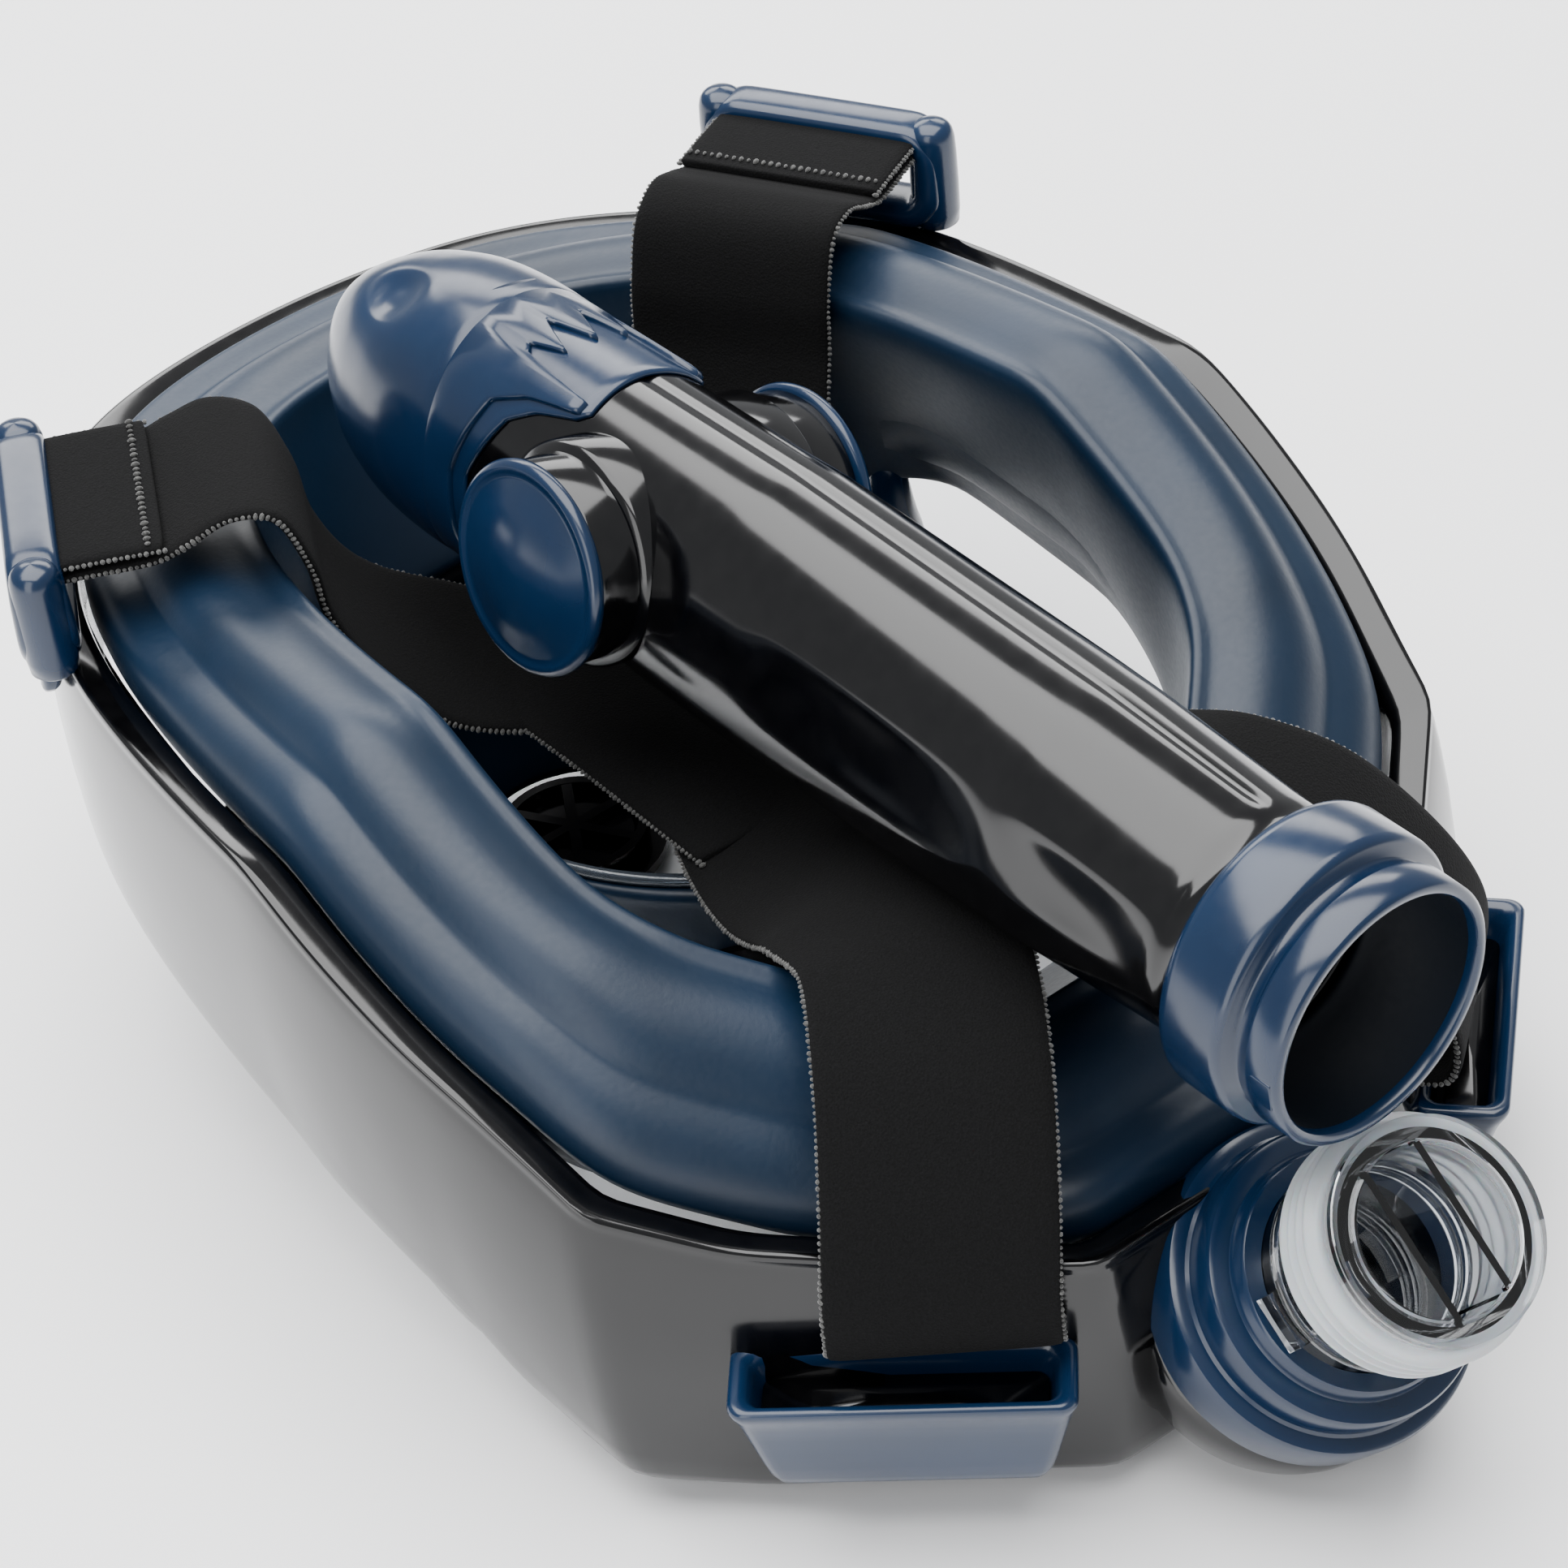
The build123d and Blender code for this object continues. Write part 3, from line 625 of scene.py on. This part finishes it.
def rounded_path(half_x, half_z, radius, steps=8):
    """Rounded rectangle as (x, z) pairs."""
    points = []
    for cx, cz, start in ((1, 1, 0), (-1, 1, 90), (-1, -1, 180), (1, -1, 270)):
        for i in range(steps + 1):
            angle = math.radians(start + 90 * i / steps)
            points.append((cx * (half_x - radius) + radius * math.cos(angle),
                           cz * (half_z - radius) + radius * math.sin(angle)))
    return points


def build_clip(side, word):
    """Strap buckle: a rounded loop with a ridged top bar on a hooked foot."""
    origin, along, across, up = clip_axes(side)
    bm = bmesh.new()
    rings = []
    path = rounded_path(20.6, 8.0, 5.0)
    for i, (x, z) in enumerate(path):
        before = path[i - 1]
        after = path[(i + 1) % len(path)]
        way = unit((after[0] - before[0], after[1] - before[1], 0))
        out = Vector((way.y, -way.x, 0))
        top = float(np.clip(z / 8.0, 0, 1))
        deep = 5.0 - 0.5 * top
        thick = 3.0 - 0.6 * top
        ring = []
        for k in range(16):
            angle = 2 * math.pi * k / 16
            a = math.copysign(abs(math.cos(angle)) ** 0.7, math.cos(angle)) * thick
            b = math.copysign(abs(math.sin(angle)) ** 0.7, math.sin(angle)) * deep
            ring.append(origin + along * (x + out.x * a) + up * (10.6 + z + out.y * a) + across * b)
        rings.append(ring)
    rings_to_mesh(bm, rings, close_rows=True)
    piece("clip_loop_" + word, bm, NAVY, "mask", replaces=["chin_clip_" + word], levels=1)

    for end, name in ((-1, "rear"), (1, "front")):
        bm = bmesh.new()
        lathe(bm, origin + along * (end * 20.6), up, [
            (0.01, 0.0), (3.8, 0.0), (4.4, 1.0), (4.4, 17.0), (4.0, 19.4), (2.8, 20.8), (0.01, 21.2)],
            closed=False, segments=40)
        piece(f"clip_post_{name}_{word}", bm, NAVY, "mask", levels=1)

    bm = bmesh.new()
    rings = []
    outward = across if side * across.x > 0 else -across
    for z, depth, reach in ((4, 5.0, -2), (0, 4.6, -1.5), (-4, 3.4, 0), (-9, 1.6, 1.2)):
        ring = []
        for x, y in rounded_path(17.0, 1.0 + depth, 1.0 + depth * 0.6):
            ring.append(origin + along * x + outward * (y * 0.5 + reach + 1.0) + up * z)
        rings.append(ring)
    rings_to_mesh(bm, rings, caps=True)
    piece("clip_hook_" + word, bm, NAVY, "mask", levels=1)


def diagonal_axes(side):
    """Middle of a forehead diagonal, the direction along it and the direction out of the mask."""
    start = Vector((SHOULDER[0], SHOULDER[1], 0))
    end = Vector((BROW[0], BROW[1], 0))
    along = (end - start).normalized()
    middle = (start + end) / 2 + along * GUIDE_SHIFT
    origin = Vector((side * middle.x, middle.y + PLAN_Y, 0))
    return origin, Vector((side * -along.x, -along.y, 0)), Vector((side * along.y, -along.x, 0))


def build_guide(side, word):
    """Pocket on the forehead diagonal: flared wall, thick lip and an open inside for the strap."""
    origin, along, outward = diagonal_axes(side)
    up = Vector((0, 0, 1))
    bm = bmesh.new()
    levels = [
        (13.5, 20.5, 3.2, 2.0), (16.0, 21.5, 4.6, 2.5), (24.0, 23.4, 5.6, 3.0), (32.0, 25.2, 6.2, 3.0),
        (34.5, 26.0, 7.6, 3.0), (36.2, 26.2, 7.8, 3.0), (37.0, 25.6, 7.2, 3.0), (36.6, 23.6, 5.6, 2.6),
        (35.0, 22.6, 4.8, 2.4), (26.0, 21.0, 4.0, 2.4), (19.0, 19.6, 3.0, 2.0),
    ]
    rings = []
    for z, half_x, half_y, radius in levels:
        ring = []
        for x, y in rounded_path(half_x, half_y, radius):
            ring.append(origin + along * x + outward * (y + 6.0 + (z - 13) * 0.12) + up * z)
        rings.append(ring)
    rings_to_mesh(bm, rings, caps=True)
    piece("guide_pocket_" + word, bm, NAVY, "mask", replaces=["strap_guide_" + word], levels=1)

    bm = bmesh.new()
    rings = []
    for z, half_x, half_y in ((17.0, 18.4, 2.6), (24.0, 20.2, 3.6), (31.5, 21.4, 4.3)):
        rings.append([origin + along * x + outward * (y + 6.0 + (z - 13) * 0.12) + up * z
                      for x, y in rounded_path(half_x, half_y, 2.0)])
    rings_to_mesh(bm, rings, caps=True)
    piece("guide_inside_" + word, bm, BLACK, "mask")


# ------------------------------------------------------------ strap
def ribbon(name, stations, width=38.0, thick=2.0, replaces=()):
    """A webbing arm through stations of (centre, direction across it), with eased edges."""
    centres = catmull([s[0] for s in stations], 10)
    across = catmull([s[1] for s in stations], 10)
    half = width / 2
    section = [(-half, -0.25), (-half + 0.5, -0.5), (-half * 0.5, -0.5), (0, -0.5), (half * 0.5, -0.5),
               (half - 0.5, -0.5), (half, -0.25), (half, 0.25), (half - 0.5, 0.5), (half * 0.5, 0.5),
               (0, 0.5), (-half * 0.5, 0.5), (-half + 0.5, 0.5), (-half, 0.25)]
    rings = []
    edges = ([], [])
    for i, centre in enumerate(centres):
        way = centres[min(i + 1, len(centres) - 1)] - centres[max(i - 1, 0)]
        side = unit(across[i] - way * (across[i].dot(way) / max(way.length_squared, 1e-6)))
        face = unit(way).cross(side)
        rings.append([centre + side * x + face * (y * thick) for x, y in section])
        edges[0].append(centre - side * half)
        edges[1].append(centre + side * half)
    bm = bmesh.new()
    rings_to_mesh(bm, rings, caps=True)
    obj = piece(name, bm, WEBBING, "mask", replaces=replaces, levels=1)
    for number, edge in enumerate(edges):
        stitches(f"{name}_edge_{number}", edge)
    return obj


def stitch_group():
    """Overlock stitches set along a line: inputs are the pitch, the stitch's length and its thickness."""
    tree = bpy.data.node_groups.new("overlock_stitches", "GeometryNodeTree")
    face = tree.interface
    face.new_socket("Line", in_out="INPUT", socket_type="NodeSocketGeometry")
    for name, value in (("Pitch", 0.0016), ("Length", 0.0024), ("Thickness", 0.0006)):
        socket = face.new_socket(name, in_out="INPUT", socket_type="NodeSocketFloat")
        socket.default_value = value
    face.new_socket("Stitches", in_out="OUTPUT", socket_type="NodeSocketGeometry")
    start = add(tree, "NodeGroupInput")
    curve = add(tree, "GeometryNodeMeshToCurve", Mesh=start.outputs["Line"])
    spaced = add(tree, "GeometryNodeResampleCurve", {"mode": "LENGTH"}, Curve=curve.outputs[0],
                 Length=start.outputs["Pitch"])
    tangent = add(tree, "GeometryNodeInputTangent")
    turned = add(tree, "FunctionNodeAlignEulerToVector", {"axis": "X"}, Vector=tangent.outputs[0])
    loop = add(tree, "GeometryNodeMeshUVSphere", Segments=8, Rings=5, Radius=1.0)
    size = add(tree, "ShaderNodeCombineXYZ")
    tree.links.new(start.outputs["Thickness"], size.inputs["X"])
    tree.links.new(start.outputs["Length"], size.inputs["Y"])
    tree.links.new(start.outputs["Thickness"], size.inputs["Z"])
    wobble = add(tree, "FunctionNodeRandomValue", {"data_type": "FLOAT"}, Seed=7)
    wobble.inputs[2].default_value = 0.75
    wobble.inputs[3].default_value = 1.25
    scaled = add(tree, "ShaderNodeVectorMath", {"operation": "SCALE"}, i0=size.outputs[0])
    tree.links.new(wobble.outputs[1], scaled.inputs["Scale"])
    put = add(tree, "GeometryNodeInstanceOnPoints", Points=spaced.outputs[0], Instance=loop.outputs["Mesh"],
              Rotation=turned.outputs[0], Scale=scaled.outputs[0])
    real = add(tree, "GeometryNodeRealizeInstances", Geometry=put.outputs[0])
    skin = add(tree, "GeometryNodeSetMaterial", Geometry=real.outputs[0], Material=THREAD)
    end = add(tree, "NodeGroupOutput")
    tree.links.new(skin.outputs[0], end.inputs[0])
    return tree


STITCHES = stitch_group()


def stitches(name, points, pitch=1.0, length=0.6, thickness=0.36):
    """Runs the stitch group along a line and keeps the result as a plain mesh."""
    mesh = bpy.data.meshes.new(name + "_line")
    mesh.from_pydata([tuple(p * MM) for p in points], [(i, i + 1) for i in range(len(points) - 1)], [])
    line = bpy.data.objects.new(name + "_line", mesh)
    bpy.context.scene.collection.objects.link(line)
    nodes = line.modifiers.new("stitches", "NODES")
    nodes.node_group = STITCHES
    values = {"Pitch": pitch * MM, "Length": length * MM, "Thickness": thickness * MM}
    for item in STITCHES.interface.items_tree:
        if item.item_type == "SOCKET" and item.name in values:
            nodes[item.identifier] = values[item.name]
    view = bpy.context.evaluated_depsgraph_get()
    made = bpy.data.meshes.new_from_object(line.evaluated_get(view))
    bpy.data.objects.remove(line, do_unlink=True)
    obj = bpy.data.objects.new(name, made)
    bpy.context.scene.collection.objects.link(obj)
    for polygon in made.polygons:
        polygon.use_smooth = True
    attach(obj, "mask")


def build_strap():
    """Head strap as it fell: four arms sewn together under the snorkel."""
    for side, word in ((1, "left"), (-1, "right")):
        origin, along, across, up = clip_axes(side)
        inwards = across if side * across.x < 0 else -across
        stations = []
        for y, z, lean, shift in ((-3, 15.2, 0, 0), (8, 15.6, 0, 0), (19, 15.8, 0, 0), (25, 18.0, 0, 0),
                                  (32, 20.5, 0.03, 0), (39, 18.0, 0.08, 0), (43, 8.0, 0.1, 0),
                                  (45, -4, 0.1, 0), (51, -15, 0.05, 1), (63, -24, -0.1, 3),
                                  (78, -29.0, 0.0, 5), (98, -30, 0, 6)):
            centre = origin + inwards * y + up * z + along * shift
            stations.append((centre, along + up * lean))
        ribbon("strap_chin_" + word, stations, replaces=["strap_chin_arm_" + word])
        tail_line = ((-3, 17.4), (6, 17.8), (14, 17.9), (21, 17.8))
        tail = [(origin + inwards * y + up * z, along) for y, z in tail_line]
        ribbon("strap_tail_" + word, tail)
        seam = origin + inwards * 18.5 + up * 19.1
        stitches("strap_seam_" + word, [seam + along * x for x in (-18, 0, 18)], pitch=1.4)

        stations = []
        for x, y, z, turn_x, turn_y in (
                (45, 83, 45, 26, -20), (50, 90, 41, 26, -20), (54, 95, 42, 26, -20), (54, 95, 52, 26, -20),
                (49, 90, 65, 26, -20), (40, 79, 78, 26, -17),
                (29, 62, 83, 27, -6), (24, 44, 80, 25, 6), (20, 26, 73, 24, 10), (12, 6, 68, 22, 10),
                (2, -14, 67, 20, 10)):
            stations.append((Vector((side * x, y, z)), unit((turn_x, side * turn_y, 0))))
        ribbon("strap_brow_" + word, stations, width=35, replaces=["strap_brow_arm_" + word])
    middle = Vector((0, 8 + PLAN_Y, 66))
    across = Vector((1, 0, 0))
    patch = [(middle + Vector((0, y, 2.2 - abs(y) * 0.02)), across) for y in (-32, -16, 0, 16, 32)]
    ribbon("strap_middle", patch, width=58, thick=2.6, replaces=["strap_patch"])


# ------------------------------------------------------------ snorkel
AROUND = 96


def tube_half_sizes(y):
    """Half width and half height of the tube at a distance from the mouth."""
    ys = (19, 24, 60, 130, 196, 241)
    width = float(np.interp(y, ys, (19.2, 19.2, 19.6, 19.0, 18.0, 17.5)))
    height = float(np.interp(y, ys, (19.2, 19.3, 21.5, 23.5, 22.5, 22.0)))
    return width, height


def tube_point(angle, y, extra=0.0, scale=1.0):
    """A point of the tube's skin: a soft superellipse with flat flanks and a fine parting groove."""
    width, height = tube_half_sizes(y)
    full = 1 - 0.1 * float(np.clip((y - 30) / 40, 0, 1))
    c = math.cos(angle)
    s = math.sin(angle)
    x = math.copysign(abs(c) ** full, c) * (width * scale + extra)
    z = math.copysign(abs(s) ** full, s) * (height * scale + extra)
    return on_snorkel(x, y, z)


def angles():
    """Angles round the tube."""
    return [2 * math.pi * i / AROUND for i in range(AROUND)]


def flank_recess(angle, y):
    """Depth of the two long leaf-shaped recesses pressed into each flank."""
    depth = 0.0
    turn = min(abs(angle - math.pi), abs(angle), abs(angle - 2 * math.pi))
    for middle, half in ((91.0, 27.0), (44.0, 17.0)):
        along = 1 - ((y - middle) / half) ** 2
        if along > 0:
            depth = max(depth, 1.5 * along * max(0.0, 1 - (turn / 0.3) ** 2))
    return depth


def build_tube():
    """Black snorkel tube with its moulding line and the shallow steps at both ends."""
    rows = []
    stations = [(19.2, -0.2), (22, 0), (23, 0), (24, -0.5), (26, -0.5), (27, 0.05)]
    stations += [(y, 0.0) for y in range(30, 180, 3)]
    stations += [(180, 0), (196, -0.3), (204, -0.6)]
    for y, extra in stations:
        row = []
        for angle in angles():
            to_line = min(abs(angle - math.pi / 2), abs(angle - 3 * math.pi / 2))
            groove = -0.5 if to_line < 0.01 and 27 < y < 196 else 0.0
            row.append(tube_point(angle, y, extra + groove - flank_recess(angle, y)))
        rows.append(row)
    inside = [[tube_point(angle, y, -2.2) for angle in angles()] for y in (204, 120, 40, 19.2)]
    bm = bmesh.new()
    rings_to_mesh(bm, rows + inside, close_rows=True)
    piece("tube_black", bm, BLACK, "snorkel", replaces=["snorkel_tube_left", "snorkel_tube_right"], levels=1)


def build_collar():
    """Blue push-on collar: mouth ring, groove and a wider ring at the back."""
    bm = bmesh.new()
    lathe(bm, MOUTH, HEAD_DIR, [
        (19.3, 2.0), (19.3, 0.5), (19.7, 0.0), (20.7, 0.0), (21.3, 0.6), (21.4, 5.8), (21.1, 6.4),
        (20.5, 6.7), (20.3, 7.4),
        (20.3, 8.4), (20.6, 9.0), (22.6, 9.2), (23.3, 9.8), (23.5, 11.0), (23.5, 19.6), (23.2, 20.8),
        (22.4, 21.7), (21.2, 22.2), (19.4, 22.3), (19.3, 19.0), (15.4, 18.9), (15.4, 17.0), (19.3, 16.9)],
        segments=112)
    collar = piece("collar_blue", bm, NAVY, "snorkel", replaces=["snorkel_collar"])
    # The bore's inner faces take the near-black material: painted shade inside the collar.
    collar.data.materials.append(BORE_PAINTED_SHADE)
    for polygon in collar.data.polygons:
        from_axis = polygon.center / MM - MOUTH
        along = from_axis.dot(HEAD_DIR)
        if along > 2.0 and (from_axis - HEAD_DIR * along).length < 19.6:
            polygon.material_index = 1
    for number in range(2):
        angle = math.radians(200 + 60 * number)
        out = SIDE_DIR * math.cos(angle) + UP_DIR * math.sin(angle)
        way = SIDE_DIR * -math.sin(angle) + UP_DIR * math.cos(angle)
        bm = bmesh.new()
        rings = []
        for along, half in ((1.0, 2.6), (4.4, 2.6), (5.0, 2.2)):
            rings.append([MOUTH + HEAD_DIR * along + out * (20.6 + r) + way * w
                          for w, r in ((-half, 0), (half, 0), (half, 0.8), (-half, 0.8))])
        rings_to_mesh(bm, rings, caps=True)
        piece(f"collar_key_{number}", bm, NAVY, "snorkel", bevel=0.25)


def from_top(angle):
    """Degrees from the parting line on top."""
    return abs(math.degrees(angle) - 90) if angle < math.radians(270) else 180.0


def claw_edge(angle):
    """Edge of the claw's raised layer: a W between two prongs, then back along the flanks."""
    return float(np.interp(from_top(angle), (0, 8, 17, 24, 29, 33, 40, 46, 56, 90, 180),
                           (179.5, 189, 179, 186, 184, 167.5, 167.5, 178, 185, 190, 188)))


def claw_foot(angle):
    """Edge of the claw's lower layer, straight across between the prongs."""
    return float(np.interp(from_top(angle), (0, 36, 42, 50, 60, 90, 180),
                           (167, 166, 168, 176, 181, 187, 186)))


def claw_layer(name, edge_of, lift, replaces=()):
    fine = [2 * math.pi * i / 240 for i in range(240)]
    shares = ((0.0, 0.1), (0.01, lift * 0.7), (0.035, lift * 0.95), (0.08, lift), (0.5, lift), (1.0, lift))
    rows = [[] for _ in range(9)]
    for angle in fine:
        edge = edge_of(angle)
        for number, (share, raised) in enumerate(shares):
            rows[number].append(tube_point(angle, edge + (202 - edge) * share, raised))
        rows[6].append(tube_point(angle, 202.0, 0.2))
        rows[7].append(tube_point(angle, edge + (202 - edge) * 0.5, 0.1))
        rows[8].append(tube_point(angle, edge + 1.0, 0.0))
    bm = bmesh.new()
    rings_to_mesh(bm, rows, close_rows=True)
    piece(name, bm, NAVY, "snorkel", replaces=replaces)


def build_claw():
    """Blue claw over the tube's head end, in two stepped layers."""
    claw_layer("claw_raised", claw_edge, 1.9, replaces=["snorkel_claw"])
    claw_layer("claw_lower", claw_foot, 0.9)


def build_hood():
    """Smooth helmet that closes the head, with a finger dimple."""
    shares = ((0.0, 1.0, 1.6), (0.004, 1.0, 1.95), (0.15, 1.015, 2.0), (0.32, 1.0, 2.0), (0.38, 0.99, 1.9),
              (0.44, 0.978, 1.8), (0.5, 0.96, 1.6), (0.56, 0.935, 1.4), (0.62, 0.905, 1.25),
              (0.68, 0.87, 1.05), (0.8, 0.76, 0.6), (0.9, 0.61, 0.3), (0.96, 0.43, 0.1), (1.0, 0.16, 0))
    fine = [2 * math.pi * i / 128 for i in range(128)]
    rows = []
    for share, scale, extra in shares:
        row = []
        for angle in fine:
            y = 196.0 + share * 45.0
            top = max(0.0, math.sin(angle)) ** 3
            lean = 1 - 0.1 * top * share
            near = ((share - 0.5) / 0.13) ** 2 + ((angle - math.radians(128)) / 0.28) ** 2
            row.append(tube_point(angle, y, extra - 2.0 * math.exp(-near ** 2), scale * lean))
        rows.append(row)
    bm = bmesh.new()
    rings_to_mesh(bm, rows, caps=True)
    piece("hood_blue", bm, NAVY, "snorkel", replaces=["snorkel_head_cap"], levels=1)


def build_pods():
    """Black drums on both sides with their domed blue caps."""
    for side, word in ((-1, "left"), (1, "right")):
        axis = SIDE_DIR * side
        centre = on_snorkel(0, POD_Y, 0)
        bm = bmesh.new()
        lathe(bm, centre, axis, [
            (13.0, 10.0), (18.6, 10.0), (18.6, 18.6), (18.0, 19.4), (17.0, 19.8), (16.8, 20.6), (16.8, 26.4),
            (16.4, 27.0), (13.0, 27.0)], segments=96)
        drum = piece("pod_drum_" + word, bm, BLACK, "snorkel", replaces=["float_pod_" + word])
        drum.modifiers.new("sharp", "EDGE_SPLIT").split_angle = math.radians(50)
        bm = bmesh.new()
        lathe(bm, centre, axis, [
            (0.01, 27.0), (16.8, 27.0), (17.6, 27.4), (17.75, 28.2), (17.4, 29.0), (16.6, 29.5), (15.9, 29.4),
            (15.4, 29.1), (14.6, 29.2), (11.0, 30.4), (7.0, 31.3), (3.0, 31.75), (0.01, 31.8)],
            closed=False, segments=96)
        piece("pod_cap_" + word, bm, NAVY, "snorkel", replaces=["pod_disc_" + word])


# ------------------------------------------------------------ CAD pieces kept as they are
CAD_MATERIALS = {
    "lens": LENS, "connector_tube": CLEAR, "drain_seat": BLACK, "drain_flap": BLACK, "drain_cover": BLACK,
    "inhale_seat_left": BLACK, "inhale_seat_right": BLACK, "inhale_flap_left": BLACK,
    "inhale_flap_right": BLACK, "air_divider_left": BLACK, "air_divider_right": BLACK,
    "float_left": FOAM, "float_right": FOAM,
}


def dress_cad():
    for name, material in CAD_MATERIALS.items():
        obj = frame["nodes"][name]
        obj.data.materials.clear()
        obj.data.materials.append(material)


# ------------------------------------------------------------ studio
def add_area(name, place, target, size, power, shade="#FFFFFF"):
    light = bpy.data.lights.new(name, "AREA")
    light.shape = "RECTANGLE"
    light.size, light.size_y = size
    light.energy = power
    light.color = colour(shade)[:3]
    obj = bpy.data.objects.new(name, light)
    bpy.context.scene.collection.objects.link(obj)
    obj.location = place
    obj.rotation_euler = (Vector(target) - Vector(place)).to_track_quat("-Z", "Y").to_euler()


def build_studio():
    bm = bmesh.new()
    bmesh.ops.create_grid(bm, x_segments=1, y_segments=1, size=6)
    mesh = bpy.data.meshes.new("floor")
    bm.to_mesh(mesh)
    bm.free()
    # Seamless white paper.
    paper, _, _ = new_material("studio_paper", "#F4F4F5", 0.75)
    mesh.materials.append(paper)
    floor = bpy.data.objects.new("floor", mesh)
    floor.location.z = -0.0004
    bpy.context.scene.collection.objects.link(floor)
    world = bpy.data.worlds.new("studio")
    bpy.context.scene.world = world
    world.use_nodes = True
    back = world.node_tree.nodes["Background"]
    back.inputs["Color"].default_value = colour("#F5F7FA")
    back.inputs["Strength"].default_value = 0.62
    add_area("overhead", (0.1, -0.15, 1.5), (0, 0, 0), (1.8, 1.8), 78)
    add_area("left_bank", (1.0, 0.5, 0.5), (0, 0, 0.05), (0.6, 1.2), 9)
    add_area("back_strip", (-0.6, -0.9, 0.7), (0, 0, 0.05), (1.4, 0.4), 12)


def build_camera():
    """The camera above the forehead end, a little to the wearer's left."""
    lens = bpy.data.cameras.new("camera")
    lens.lens = 100
    lens.sensor_width = 36
    lens.clip_start = 0.01
    camera = bpy.data.objects.new("camera", lens)
    bpy.context.scene.collection.objects.link(camera)
    right = Vector((-0.77928, 0.62062, -0.08686))
    up = Vector((-0.44469, -0.44998, 0.77445))
    back = right.cross(up)
    turn = Matrix((right, up, back)).transposed().to_4x4()
    camera.matrix_world = Matrix.Translation((0.31915, 0.45526, 0.51071)) @ turn
    bpy.context.scene.camera = camera


build_frame()
build_skirt()
build_cup()
build_socket()
for which, label in ((1, "left"), (-1, "right")):
    build_clip(which, label)
    build_guide(which, label)
build_strap()
build_tube()
build_collar()
build_claw()
build_hood()
build_pods()
dress_cad()
build_studio()
build_camera()
